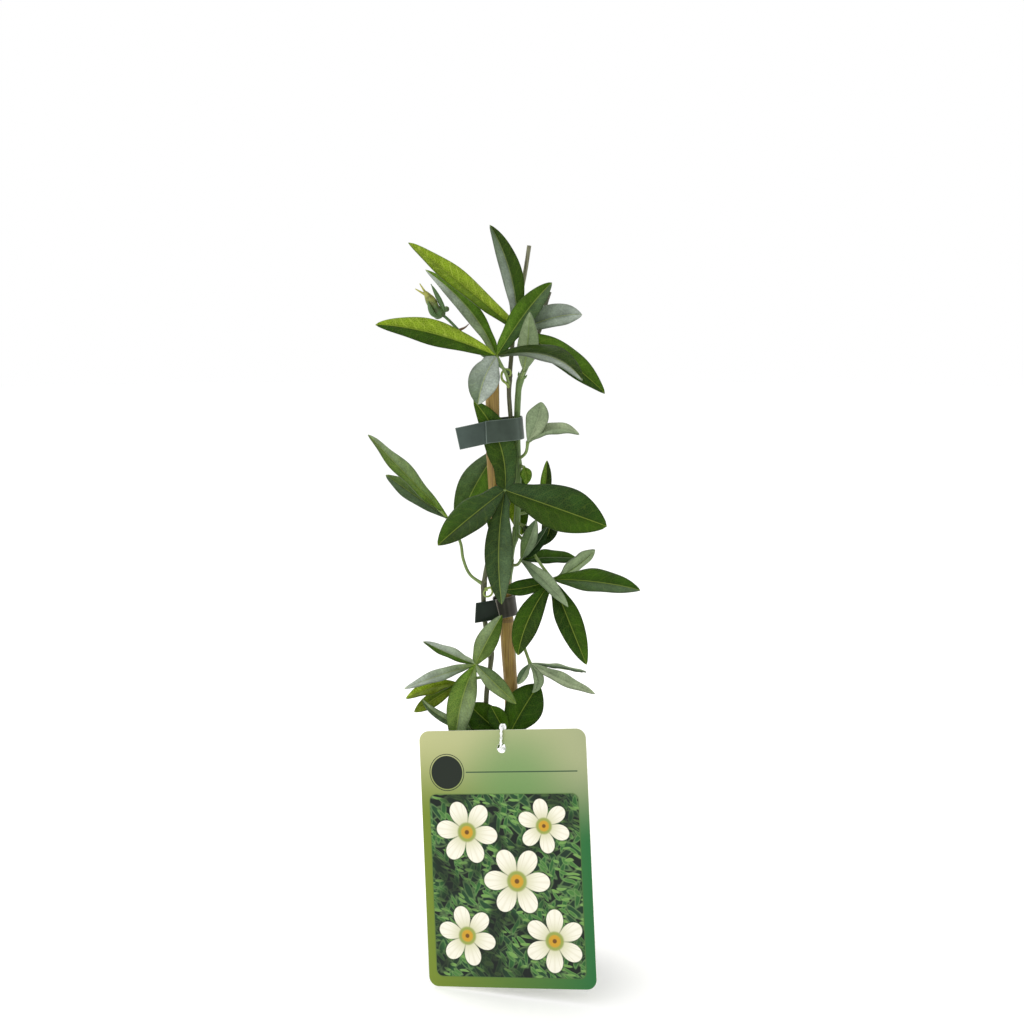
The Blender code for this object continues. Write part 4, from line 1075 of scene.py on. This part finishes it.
# %% The ties' skin
def strip_skin(name):
    """Soft PVC: satin and a little cloudy, with the tint that its mesh carries."""
    made, tree, shader = new_material(name)
    tint = add(tree, "Attribute", attribute_name="tint")
    place = add(tree, "TexCoord").outputs["Object"]
    cloud = add(tree, "TexNoise", {"Vector": place, "Scale": 1 / (6 * MM), "Detail": 4})
    value = add(tree, "MapRange", {0: cloud, 1: 0.3, 2: 0.7, 3: 0.85, 4: 1.15})
    varied = add(tree, "VectorMath", {0: tint, 3: value}, operation="SCALE")
    grain = add(tree, "TexNoise", {"Vector": place, "Scale": 1 / (0.5 * MM)})
    bump = add(tree, "Bump", {"Height": grain, "Strength": 0.4, "Distance": 0.04 * MM})
    plug(shader, {"Base Color": varied, "Roughness": 0.42, "Normal": bump, "Specular IOR Level": 0.2})
    return made


grey_strip = strip_skin("grey green satin strip")
dark_strip = strip_skin("dark green satin strip")
print("strip skins:", grey_strip.name, "/", dark_strip.name)

# %% A strip on edge
TIE_THICKNESS = 0.75
SHARP_ANGLE = math.radians(40)
# How much of the pale painted highlight tone shows at a cut end, at the tightest bend and along the edges
CUT_HIGHLIGHT = 0.55
BEND_HIGHLIGHT = 0.35
EDGE_HIGHLIGHT = 0.5
# How fast the painted highlight grows as a bend tightens, and over how many steps the slant of a cut end
# fades
BEND_HIGHLIGHT_GAIN = 3.5
SLANT_STEPS = 6


def strip(name, route, height, middle, tilt, skin, tones, highlight_tone, slant=0):
    """A band on edge. tones are for its start and end; the last tone is a painted highlight for its cut
    ends, its bends and its edges.
    """
    plan = smooth_route([(x, y, 0) for x, y in route], 0.5)
    half, thin = height / 2, TIE_THICKNESS / 2
    section = [(side * thin * depth, z * half) for side, z, depth in (
        (1, 0.93, 1), (1, 0.5, 1), (1, 0, 1), (1, -0.5, 1), (1, -0.93, 1), (1, -1, 0.55),
        (-1, -1, 0.55), (-1, -0.93, 1), (-1, -0.5, 1), (-1, 0, 1), (-1, 0.5, 1), (-1, 0.93, 1),
        (-1, 1, 0.55), (1, 1, 0.55))]
    start, end, pale = [np.array(colour(tone)) for tone in (*tones, highlight_tone)]
    turn = Matrix.Rotation(math.radians(-tilt), 3, "Y")
    points, tints = [], []
    last = len(plan) - 1
    for index, point in enumerate(plan):
        ahead = (plan[min(last, index + 1)] - plan[max(0, index - 1)]).normalized()
        out = Vector((ahead.y, -ahead.x, 0))
        bend = 0
        if 0 < index < last:
            before, after = plan[index] - plan[index - 1], plan[index + 1] - plan[index]
            bend = min(1, before.angle(after) * BEND_HIGHLIGHT_GAIN)
        share = index / last
        # Painted highlight: the cut ends, the bends and the top and bottom edges turn towards the pale
        # tone.
        rim = CUT_HIGHLIGHT if index in (0, last) else BEND_HIGHLIGHT * bend
        tint = start * (1 - share) + end * share
        for across, z in section:
            lean = slant * max(0, 1 - index / SLANT_STEPS)
            moved = point + out * across + ahead * lean * z / half + Vector((0, 0, z))
            points.append((turn @ moved + Vector((0, 0, middle))) * MM)
            amount = max(rim, EDGE_HIGHLIGHT if abs(z) > 0.95 * half else 0)
            tints.append(tint * (1 - amount) + pale * amount)
    wide = len(section)
    faces = []
    for row in range(last):
        for step in range(wide):
            a, b = row * wide + step, row * wide + (step + 1) % wide
            faces.append((a, b, b + wide, a + wide))
    faces.append(tuple(reversed(range(wide))))
    faces.append(tuple(range(last * wide, (last + 1) * wide)))
    mesh = tinted_mesh(name, points, faces, tints)
    mesh.materials.append(skin)
    mesh.shade_smooth()
    mesh.set_sharp_from_angle(angle=SHARP_ANGLE)
    return show(bpy.data.objects.new(name, mesh))


# %% The two ties
def signed_volume(obj):
    work = bmesh.new()
    work.from_mesh(obj.data)
    volume = work.calc_volume(signed=True)
    work.free()
    return volume


# The last colour given to each strip is the tone of its painted highlight.
upper = strip("tie_upper_strip", UPPER_TIE, 11, 275, 5, grey_strip, ("#37433a", "#39453c"),
              "#8c9a92", slant=0.3)
tail = strip("tie_upper_tail", UPPER_TAIL, 11, 276.4, 12, grey_strip, ("#43504a", "#38443d"), "#76857d")
lower = strip("tie_lower_strip", LOWER_TIE, 10, 186, 8, dark_strip, ("#0e1d11", "#24241d"),
              "#4a5750", slant=1)
layer = strip("tie_lower_layer", LOWER_LAYER, 10, 186, 8, dark_strip, ("#2a2a22", "#26261f"),
              "#a09a90", slant=-0.6)
print("strips face outward:", all(signed_volume(obj) > 0 for obj in (upper, tail, lower, layer)))
finished(fuse("tie_upper_strip", [upper, tail]), "tie_grey", "tie_upper")
finished(fuse("tie_lower_strip", [lower, layer]), "tie_dark", "tie_lower")

# %% [markdown]
# ## The hang tag
#
# The tag is glossy card with rounded corners and a punched hole. It leans on the pot's rim, turned a
# little to its right. The outline is a flat curve with the hole as a second ring, filled, extruded
# and then cut into strips, so that it can bow gently as card does. Its print is a procedural design
# on the card's own UV map, which holds millimetres from its middle: a green wash that runs from pale
# at the top to deep at the lower right, a plain dark disc, a fine rule, and a framed picture of a
# leafy ground with blossoms of six petals.

# %% Where the tag stands
TAG_WIDTH = 86.5
TAG_HEIGHT = 126.5
TAG_THICKNESS = 0.8
TAG_CORNER = 5
TAG_HOLE_RADIUS = 2.4
TAG_HOLE_BELOW_TOP = 9
TAG_BOW = 0.5
TAG_EDGE = 0.1
TAG_STRIPS = 16
POT_HEIGHT = 72
RIM_RADIUS = 37.5
TAG_MIDDLE_X = -3.6
TAG_MIDDLE_Z = 66.4

tag_turn = (Matrix.Rotation(math.radians(-18.2), 3, "Z") @ Matrix.Rotation(math.radians(-8.5), 3, "X")
            @ Matrix.Rotation(math.radians(-5.4), 3, "Y"))
tag_back = tag_turn @ Vector((0, 1, 0))
rim_reach = RIM_RADIUS * math.hypot(tag_back.x, tag_back.y) + TAG_THICKNESS / 2 + 0.3
sideways = tag_back.x * TAG_MIDDLE_X + tag_back.z * (TAG_MIDDLE_Z - POT_HEIGHT)
tag_middle = Vector((TAG_MIDDLE_X, (-rim_reach - sideways) / tag_back.y, TAG_MIDDLE_Z))
print("tag middle in mm:", [round(v, 1) for v in tag_middle])


# %% Shapes in the print
def box_distance(tree, where, centre, size, corner):
    """How far a point lies outside a box with rounded corners, in mm (negative inside)."""
    moved = add(tree, "VectorMath", {0: where, 1: (*centre, 0)}, operation="SUBTRACT")
    folded = add(tree, "VectorMath", {0: moved}, operation="ABSOLUTE")
    half = (size[0] / 2 - corner, size[1] / 2 - corner, 0)
    over = add(tree, "VectorMath", {0: folded, 1: half}, operation="SUBTRACT")
    kept = add(tree, "VectorMath", {0: over, 1: (0, 0, 0)}, operation="MAXIMUM")
    length = add(tree, "VectorMath", {0: kept}, operation="LENGTH")
    return add(tree, "Math", {0: length, 1: corner}, operation="SUBTRACT")


def blossom(tree, where, under, centre, radius, turn):
    """A cream blossom of six petals, with a golden middle, laid over what is under it."""
    moved = add(tree, "VectorMath", {0: where, 1: (*centre, 0)}, operation="SUBTRACT")
    parts = add(tree, "SeparateXYZ", {0: moved})
    reach = add(tree, "VectorMath", {0: moved}, operation="LENGTH")
    angle = add(tree, "Math", {0: parts.outputs[1], 1: parts.outputs[0]}, operation="ARCTAN2")
    six = add(tree, "Math", {0: angle, 1: 3.0, 2: turn}, operation="MULTIPLY_ADD")
    wave = add(tree, "Math", {0: six}, operation="COSINE")
    fold = add(tree, "Math", {0: wave}, operation="ABSOLUTE")
    petal = add(tree, "Math", {0: fold, 1: 0.5}, operation="POWER")
    outline = add(tree, "Math", {0: petal, 1: 0.72 * radius, 2: 0.28 * radius}, operation="MULTIPLY_ADD")
    inside = add(tree, "Math", {0: outline, 1: reach}, operation="SUBTRACT")
    shade = add(tree, "Math", {0: fold, 1: 26.0}, operation="MULTIPLY")
    streak = add(tree, "Math", {0: shade}, operation="SINE")
    result = lay_over(tree, under, "#12210f", inside, -1.6, 0, 0, 0.6)
    cream = lay_over(tree, "#c9c99f", "#f2eedd", reach, 1, radius * 0.8)
    lined = lay_over(tree, cream, "#d6d0b4", streak, 0.4, 1, 0, 0.5)
    folded = lay_over(tree, lined, "#a5a684", fold, 0.3, 0, 0, 0.8)
    result = lay_over(tree, result, folded, inside, -0.1, 0.25)
    for tone, start, end in (("#93a04e", 0.34, 0.26), ("#c99a2c", 0.23, 0.16), ("#6d4a1d", 0.09, 0.05)):
        result = lay_over(tree, result, tone, reach, radius * start, radius * end)
    return result


# %% The green wash
# Smooth coated card: clean printed colour under a soft gloss, with a slight waviness in it.
glossy_print, tree, shader = new_material("glossy printed card")
uv = add(tree, "UVMap", uv_map="print")
where = add(tree, "VectorMath", {0: uv, 3: 1 / MM}, operation="SCALE")
parts = add(tree, "SeparateXYZ", {0: where})
left = lay_over(tree, "#728528", "#babc86", parts.outputs[1], 20, 64)
right = lay_over(tree, "#246a36", "#a3aa80", parts.outputs[1], 6, 52)
wash = lay_over(tree, left, right, parts.outputs[0], -43, 43, curve="LINEAR")
glow = add(tree, "VectorMath", {0: where, 1: (6, 40, 0)}, operation="DISTANCE")
wash = lay_over(tree, wash, "#5d8f4e", glow, 36, 4, 0, 0.6)
print("nodes in the wash:", len(tree.nodes))

# %% The leafy picture with its blossoms
# Middle, size and corner in mm of the picture, and each blossom's place, radius and turn
PANEL = ((-0.4, -13.15), (76.9, 89.6), 3.2)
BLOSSOMS = (
    ((-20, 13), 16, 0.4), ((20, 16), 13.5, 1.1), ((5, -11), 17, 0.1), ((-22, -38), 15, 0.8),
    ((23, -40), 15.5, 1.7),
)

# The picture's ground: long leaves in five greens, each at its own slope, over near black.
picture = "#0d1a12"
swirl = add(tree, "TexNoise", {"Vector": where, "Scale": 0.05, "Detail": 1})
swirled = add(tree, "VectorMath", {0: swirl.outputs["Color"], 1: (11, 11, 0), 2: where},
              operation="MULTIPLY_ADD")
for slope, tone, size, cut in ((0.5, "#17301f", 17, 0.4), (-0.8, "#1f4526", 15, 0.33),
                               (1.3, "#2d5f2c", 14, 0.25), (2.4, "#487838", 12, 0.19),
                               (-0.2, "#6f9a4c", 11, 0.14)):
    turned_place = add(tree, "Mapping", {"Vector": swirled, "Rotation": (0, 0, slope),
                                         "Scale": (size, size / 3.4, 1)},
                       vector_type="TEXTURE")
    cells = add(tree, "TexVoronoi", {"Vector": turned_place, "Scale": 1.0}, voronoi_dimensions="2D")
    leaf = add(tree, "MapRange", {0: cells, 1: cut + 0.1, 2: cut}, interpolation_type="SMOOTHSTEP")
    picture = add(tree, "Mix", {0: leaf, 6: picture, 7: tone}, data_type="RGBA")
    rim = add(tree, "MapRange", {0: cells, 1: cut * 0.7, 2: cut, 4: 0.35},
              interpolation_type="SMOOTHSTEP")
    lit_rim = add(tree, "Math", {0: rim, 1: leaf}, operation="MULTIPLY")
    picture = add(tree, "Mix", {0: lit_rim, 6: picture, 7: "#86a866"}, data_type="RGBA")
glade = add(tree, "TexNoise", {"Vector": where, "Scale": 0.045, "Detail": 2})
picture = lay_over(tree, picture, "#0a140f", glade, 0.52, 0.36, 0, 0.85)
for centre, radius, turn in BLOSSOMS:
    picture = blossom(tree, where, picture, centre, radius, turn)
framed = box_distance(tree, where, *PANEL)
wash = lay_over(tree, wash, "#4f6b35", framed, 0.55, 0.3, 0, 0.6)
wash = lay_over(tree, wash, picture, framed, 0.1, -0.1)
print("nodes with the picture:", len(tree.nodes))

# %% The disc, the rule and the gloss
# A plain dark disc with a fine ring, and the rule beside it: its middle, size and corner.
RULE = ((9.5, 42.6), (57.5, 0.5), 0.2)
DISC_MIDDLE = (-29.25, 42.6, 0)
disc = add(tree, "VectorMath", {0: where, 1: DISC_MIDDLE}, operation="DISTANCE")
wash = lay_over(tree, wash, "#1b241a", disc, 8.3, 8.1)
ring = add(tree, "Math", {0: disc, 1: 9.0, 2: 0.2}, operation="COMPARE")
wash = lay_over(tree, wash, "#2b3627", ring, 0, 1)
rule = box_distance(tree, where, *RULE)
wash = lay_over(tree, wash, "#39523a", rule, 0.12, -0.02)
waves = add(tree, "TexNoise", {"Vector": where, "Scale": 0.045, "Detail": 2})
bump = add(tree, "Bump", {"Height": waves, "Strength": 0.3, "Distance": 0.3 * MM})
plug(shader, {"Base Color": wash, "Roughness": 0.32, "Normal": bump, "Specular IOR Level": 0.25})
print("nodes in the print:", len(tree.nodes))

# %% The back and the cut edge
# Bare white board: matt, faintly fibrous, with one printed band at its top and one at its foot.
card_back, tree, shader = new_material("uncoated card back")
uv = add(tree, "UVMap", uv_map="print")
where = add(tree, "VectorMath", {0: uv, 3: 1 / MM}, operation="SCALE")
y = add(tree, "SeparateXYZ", {0: where}).outputs[1]
paper = lay_over(tree, "#e6e8d8", "#7ea862", y, 38, 39.5)
paper = lay_over(tree, paper, "#c9d3b0", y, -52, -53)
fibre = add(tree, "TexNoise", {"Vector": where, "Scale": 1.6, "Detail": 4})
paper = lay_over(tree, paper, "#b9bba4", fibre, 0.5, 0.8, 0, 0.35)
plug(shader, {"Base Color": paper, "Roughness": 0.6})

# The cut shows the board's pale matt fibres.
card_edge = mottled("cut card edge", "#f0f0e6", "#c8ccb4", 0.6, 0.4, 0.7, {"Roughness": 0.7})


# %% The card's outline
CORNER_STEPS = 12
HOLE_STEPS = 36


def ring_of_points(spline, points):
    spline.points.add(len(points) - 1)
    for point, (x, y) in zip(spline.points, points):
        point.co = (x * MM, y * MM, 0, 1)
    spline.use_cyclic_u = True


outline = []
for x_side, y_side, first in ((1, 1, 0), (-1, 1, 90), (-1, -1, 180), (1, -1, 270)):
    for step in range(CORNER_STEPS + 1):
        angle = math.radians(first + 90 * step / CORNER_STEPS)
        outline.append((x_side * (TAG_WIDTH / 2 - TAG_CORNER) + TAG_CORNER * math.cos(angle),
                        y_side * (TAG_HEIGHT / 2 - TAG_CORNER) + TAG_CORNER * math.sin(angle)))
hole_height = TAG_HEIGHT / 2 - TAG_HOLE_BELOW_TOP
hole = [(TAG_HOLE_RADIUS * math.cos(a), hole_height + TAG_HOLE_RADIUS * math.sin(a))
        for a in [math.radians(360 / HOLE_STEPS * step) for step in range(HOLE_STEPS)]]
flat = bpy.data.curves.new("tag outline", "CURVE")
flat.dimensions = "2D"
flat.fill_mode = "BOTH"
flat.extrude = (TAG_THICKNESS / 2 - TAG_EDGE) * MM
flat.bevel_depth = TAG_EDGE * MM
flat.bevel_resolution = 2
flat.offset = -TAG_EDGE * MM
ring_of_points(flat.splines.new("POLY"), outline)
ring_of_points(flat.splines.new("POLY"), hole)
card = plain(show(bpy.data.objects.new("hang_tag", flat)))
card.data.materials.clear()
for skin in (glossy_print, card_back, card_edge):
    card.data.materials.append(skin)
print("points round the tag and round its hole:", len(outline), len(hole))

# %% Cut the card into strips, bow it and stand it up
work = bmesh.new()
work.from_mesh(card.data)
bmesh.ops.remove_doubles(work, verts=work.verts, dist=0.002 * MM)
work.normal_update()
for step in range(1, TAG_STRIPS):
    x = (step / TAG_STRIPS - 0.5) * TAG_WIDTH * MM
    everything = [*work.verts, *work.edges, *work.faces]
    bmesh.ops.bisect_plane(work, geom=everything, plane_co=(x, 0, 0), plane_no=(1, 0, 0))
for face in work.faces:
    face.material_index = 0 if face.normal.z > 0.9 else 1 if face.normal.z < -0.9 else 2
    face.smooth = True
uv_layer = work.loops.layers.uv.new("print")
for face in work.faces:
    for corner in face.loops:
        corner[uv_layer].uv = corner.vert.co.xy
for vert in work.verts:
    vert.co.z += TAG_BOW * MM * (1 - (vert.co.x / (TAG_WIDTH / 2 * MM)) ** 2) - TAG_BOW * MM / 2
work.to_mesh(card.data)
work.free()
card.data.set_sharp_from_angle(angle=SHARP_ANGLE)
stood_up = Matrix.Rotation(math.pi / 2, 4, "X")
card.data.transform(Matrix.Translation(tag_middle * MM) @ tag_turn.to_4x4() @ stood_up)
print("card faces outward:", signed_volume(card) > 0)
finished(card, "card", "label_card")

# %% [markdown]
# ## The tag's string
#
# A white plastic string goes through the hole, over the tag's top edge and round the cane. Two
# strands are twisted together, so each is a tube that winds round the string's own path. A knot sits
# where the string comes over the tag's edge.

# %% The twisted string
LOOP_AT_TAG = [
    (-0.2, 0, -0.3), (0, -1.6, 0.6), (0.4, -1.9, 5), (0.6, -1.5, 9), (0.8, 0.4, 10.6),
    (0.6, 2.4, 8.6),
]
LOOP_AT_CANE = [
    (-4, -16, 116), (-5.2, -9, 108), (-5.2, -2.4, 104), (-3.6, 3.2, 103), (0.4, 5.4, 103),
    (4.6, 3.4, 103), (6, -2, 104), (3.6, -10, 106), (0, -20, 112),
]
LOOP_BACK = (0.6, 3, -0.9)
TWIST_LENGTH = 4.5
STRAND_RADIUS = 0.42
STRAND_OFFSET = 0.32
KNOT_STEPS = 40

# Glossy white polyethylene, a little milky, with a thin clear coat that catches the light.
string_skin = mottled("white plastic string", "#ffffff", "#c8ccc6", 2, 0.45, 0.75,
                      {"Roughness": 0.28, "Coat Weight": 0.3})

hole_middle = Vector((0, 0, hole_height))
at_tag = [tag_middle + tag_turn @ (hole_middle + Vector(point)) for point in LOOP_AT_TAG]
back = tag_middle + tag_turn @ (hole_middle + Vector(LOOP_BACK))
path = smooth_route([*at_tag, *LOOP_AT_CANE, back, at_tag[0]], 0.5)
side = (path[1] - path[0]).orthogonal().normalized()
strands = ([], [])
travelled = 0
for index, point in enumerate(path):
    ahead = (path[min(index + 1, len(path) - 1)] - path[max(index - 1, 0)]).normalized()
    side = (side - ahead * side.dot(ahead)).normalized()
    if index:
        travelled += (point - path[index - 1]).length
    angle = 2 * math.pi * travelled / TWIST_LENGTH
    out = side * math.cos(angle) + ahead.cross(side) * math.sin(angle)
    strands[0].append(point + out * STRAND_OFFSET)
    strands[1].append(point - out * STRAND_OFFSET)
pieces = [stalk("strand", strand, lambda _s, _p: STRAND_RADIUS, string_skin, step=0.5, sides=8,
                depth=0.03) for strand in strands]
knot_middle = at_tag[4] + Vector((0, -1.2, 0.2))
knot = [knot_middle + Vector((1.3 * math.sin(a), 0.75 * math.cos(2 * a), 0.95 * math.sin(2 * a + 0.6)))
        for a in [2 * math.pi * step / KNOT_STEPS for step in range(KNOT_STEPS + 1)]]
pieces.append(stalk("knot", knot, lambda _s, _p: 0.5, string_skin, step=0.4, sides=8, depth=0.03))
finished(fuse("tag_string", pieces), "loop", "label_loop")

# %% [markdown]
# ## The nursery pot
#
# Young climbers are sold in thin black pots, moulded from recycled plastic. The rim is a stiff band
# with a rolled lip, the wall tapers, and the underside has drain holes. The profile is turned, then
# Boolean cuts make the holes. The plastic is satin, with fine scuffs and a little dried soil.

# %% Black nursery plastic
# Satin black with fine scuffs, and pale dried soil that gathers near the ground.
pot_plastic, tree, shader = new_material("black recycled polypropylene")
place = add(tree, "TexCoord").outputs["Object"]
z = add(tree, "SeparateXYZ", {0: place}).outputs[2]
cloud = add(tree, "TexNoise", {"Vector": place, "Scale": 1 / (9 * MM), "Detail": 6})
fine = add(tree, "TexNoise", {"Vector": place, "Scale": 1 / (0.6 * MM), "Detail": 2})
stretch = add(tree, "Mapping", {"Vector": place, "Scale": (60, 60, 1400)})
scuffs = add(tree, "TexNoise", {"Vector": stretch, "Scale": 1.0, "Detail": 3})
black = lay_over(tree, "#131416", "#26282a", scuffs, 0.55, 0.75)
low = add(tree, "MapRange", {0: z, 1: 14 * MM, 2: 0, 4: 0.6}, interpolation_type="SMOOTHSTEP")
patches = add(tree, "MapRange", {0: cloud, 1: 0.52, 2: 0.7, 3: 0.05, 4: 0.6},
              interpolation_type="SMOOTHSTEP")
dust = add(tree, "Math", {0: patches, 1: low}, operation="MULTIPLY")
dusty = add(tree, "Mix", {0: dust, 6: black, 7: "#6b5844"}, data_type="RGBA")
satin = add(tree, "MapRange", {0: cloud, 1: 0.3, 2: 0.7, 3: 0.36, 4: 0.56},
            interpolation_type="SMOOTHSTEP")
bump = add(tree, "Bump", {"Height": fine, "Strength": 0.5, "Distance": 0.06 * MM})
plug(shader, {"Base Color": dusty, "Roughness": satin, "Normal": bump})

# %% The pot's profile
# Sizes of the pot in mm
WALL = 1.2
BASE_RADIUS = 27
RIM_DEPTH = 7
SHOULDER = POT_HEIGHT - RIM_DEPTH
BODY_RADIUS = RIM_RADIUS - 1.6
POT_FLOOR = 1.5
POT_SIDES = 120
DRAIN_HOLES = 6
DRAIN_CIRCLE = 17
DRAIN_RADIUS = 3
FLUTES = 24
FLUTE_DEPTH = 0.12
POT_PROFILE = [
    (0.02, 0.9), (9, 0.9), (10, 0.5), (BASE_RADIUS - 4, 0.5), (BASE_RADIUS - 3, 0),
    (BASE_RADIUS - 1.2, 0), (BASE_RADIUS - 0.4, 0.35), (BASE_RADIUS, 1.2), (BASE_RADIUS + 1.2, 9.5),
    (BASE_RADIUS + 1.6, 10), (BASE_RADIUS + 2.6, 18), (BODY_RADIUS - 1.2, SHOULDER - 9),
    (BODY_RADIUS - 0.75, SHOULDER - 8.6), (BODY_RADIUS - 0.1, SHOULDER - 1),
    (BODY_RADIUS, SHOULDER - 0.4), (RIM_RADIUS - 0.35, SHOULDER), (RIM_RADIUS - 0.15, SHOULDER + 0.3),
    (RIM_RADIUS - 0.3, SHOULDER + 3.2), (RIM_RADIUS - 0.3, POT_HEIGHT - 1.9),
    (RIM_RADIUS - 0.05, POT_HEIGHT - 1.5), (RIM_RADIUS, POT_HEIGHT - 0.7),
    (RIM_RADIUS - 0.25, POT_HEIGHT - 0.15), (RIM_RADIUS - 0.6, POT_HEIGHT),
    (RIM_RADIUS - WALL + 0.2, POT_HEIGHT - 0.15), (RIM_RADIUS - WALL, POT_HEIGHT - 0.6),
    (RIM_RADIUS - WALL, SHOULDER + WALL), (BODY_RADIUS - WALL, SHOULDER),
    (BASE_RADIUS - WALL, POT_FLOOR), (0.02, POT_FLOOR),
]
print("points in the pot's profile:", len(POT_PROFILE))


# %% Turn the pot and cut its drain holes
def flutes(angle, radius, height):
    """Shallow upright flutes on the lower wall, which stiffen it."""
    if radius > BASE_RADIUS + 1.1 and 9.9 < height < SHOULDER - 8.8 and radius < BODY_RADIUS - 1:
        return radius - FLUTE_DEPTH * (1 + math.cos(FLUTES * angle)) / 2, height
    return radius, height


pot = turned("nursery_pot", POT_PROFILE, POT_SIDES, pot_plastic, flutes)
pot.data.set_sharp_from_angle(angle=math.radians(35))
cutters = []
for index in range(DRAIN_HOLES):
    angle = 2 * math.pi * (index + 0.5) / DRAIN_HOLES
    place = Matrix.Translation(Vector((math.cos(angle), math.sin(angle), 0)) * DRAIN_CIRCLE * MM)
    profile = [(0.02, -2), (DRAIN_RADIUS, -2), (DRAIN_RADIUS, 4), (0.02, 4)]
    cutter = turned(f"drain {index}", profile, 32, pot_plastic, placed=place)
    cut = pot.modifiers.new(f"drain {index}", "BOOLEAN")
    cut.operation = "DIFFERENCE"
    cut.object = cutter
    cutters.append(cutter)
pot = plain(pot)
for cutter in cutters:
    bpy.data.objects.remove(cutter, do_unlink=True)
print("pot faces outward:", signed_volume(pot) > 0)
finished(pot, "pot_plastic", "pot")

# %% [markdown]
# ## Soil, crumbs and white grains
#
# Potting soil is dark peat with crumbs, bark chips and white grains of perlite. The body is a turned
# solid with a lumpy top. The loose bits are scattered by one Geometry Nodes tree that is run three
# times: it puts points on the top, drops a lumpy stone on each, turns it at random and squashes it.

# %% The soil's body
# Moist peat is nearly black, quite matt and crumbly all over.
peat = mottled("dark peat soil", "#20170f", "#4c3a28", 2.2, 0.4, 0.68,
               {"Roughness": 0.95, "Specular IOR Level": 0.2}, 6, (1.0, 0.8))

SOIL_EDGE = 33.6


def lumpy(angle, radius, height):
    """The top rises and falls by about a millimetre, more in the middle than at the wall."""
    if height < SOIL_TOP - 3:
        return radius, height
    spot = Vector((radius * math.cos(angle), radius * math.sin(angle), 0))
    rise = 1.1 * lumps.noise(spot / 6) + 0.6 * lumps.noise(spot / 2.2)
    return radius, height + rise * min(1, (SOIL_EDGE + 1 - radius) / 6) - 0.3


soil_profile = [(0.02, 1.8), (25.5, 1.8), (SOIL_EDGE, SOIL_TOP - 2.4)]
soil_profile += [(SOIL_EDGE * (1 - step / 26), SOIL_TOP - 1.5 + 1.5 * ease(step / 20))
                 for step in range(1, 26)] + [(0.02, SOIL_TOP)]
soil = turned("potting_soil", soil_profile, 96, peat, lumpy)
finished(soil, "soil", "soil")

# %% The tree that scatters loose bits
crumb_tree, given = new_tree(
    "loose bits on soil", ("Bits a square metre", "Float", 1e5), ("Smallest", "Float", 0.4 * MM),
    ("Largest", "Float", 1 * MM), ("Squash", "Vector", (1, 1, 1)), ("Seed", "Int", 1),
    ("Skin", "Material"))
spread = add(crumb_tree, "GeometryNodeDistributePointsOnFaces",
             {"Mesh": given["Geometry"], "Density": given["Bits a square metre"],
              "Seed": given["Seed"]})
stone = add(crumb_tree, "GeometryNodeMeshIcoSphere", {"Radius": 1.0, "Subdivisions": 2})
knobs = add(crumb_tree, "TexNoise", {"Scale": 1.4, "Detail": 2})
centred = add(crumb_tree, "VectorMath", {0: knobs.outputs["Color"], 1: (0.5, 0.5, 0.5)},
              operation="SUBTRACT")
knobbed = add(crumb_tree, "GeometryNodeSetPosition", {"Geometry": stone, "Offset": centred})
size = add(crumb_tree, "FunctionNodeRandomValue",
           {2: given["Smallest"], 3: given["Largest"], "Seed": given["Seed"]}, data_type="FLOAT")
scale = add(crumb_tree, "VectorMath", {0: given["Squash"], 3: size}, operation="SCALE")
turn = add(crumb_tree, "FunctionNodeRandomValue", {0: (0, 0, 0), 1: (6.28, 6.28, 6.28)},
           data_type="FLOAT_VECTOR")
bits = add(crumb_tree, "GeometryNodeInstanceOnPoints",
           {"Points": spread, "Instance": knobbed, "Rotation": turn, "Scale": scale})
end_tree(crumb_tree, bits, given["Skin"])

# %% Crumbs, bark chips and perlite
# Peat crumbs are nearly black, bark chips are fibrous and red brown, perlite is chalky white.
crumbs = mottled("peat crumbs", "#1c140d", "#4a3725", 1.5, 0.35, 0.65, {"Roughness": 0.95}, 4, (0.8, 0.2))
bark = mottled("bark chips", "#3d2a1c", "#7d5c3f", 1.2, 0.35, 0.65, {"Roughness": 0.85}, 4, (0.8, 0.2))
perlite = mottled("white perlite", "#d9d6cc", "#f4f2ea", 0.6, 0.35, 0.65, {"Roughness": 0.9}, 4,
                  (0.8, 0.2))
bits_on_soil = []
for name, skin, density, smallest, largest, squash, seed in (
    ("crumbs", crumbs, 420000, 0.35, 1.1, (1, 1, 0.8), 3),
    ("bark", bark, 42000, 0.9, 2.0, (1.5, 0.8, 0.4), 5),
    ("perlite", perlite, 26000, 0.4, 0.95, (1, 0.9, 0.8), 9),
):
    top = turned(name, soil_profile[4:], 48, skin, lumpy)
    bits_on_soil.append(run_tree(
        top, crumb_tree, bits_a_square_metre=float(density), smallest=smallest * MM,
        largest=largest * MM, squash=squash, seed=seed, skin=skin))
finished(fuse("loose_soil_bits", bits_on_soil), "soil")

# %% Print the sizes and finish
low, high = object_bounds()
print("visual box in mm:", [round((b - a) / MM, 1) for a, b in zip(low, high)])
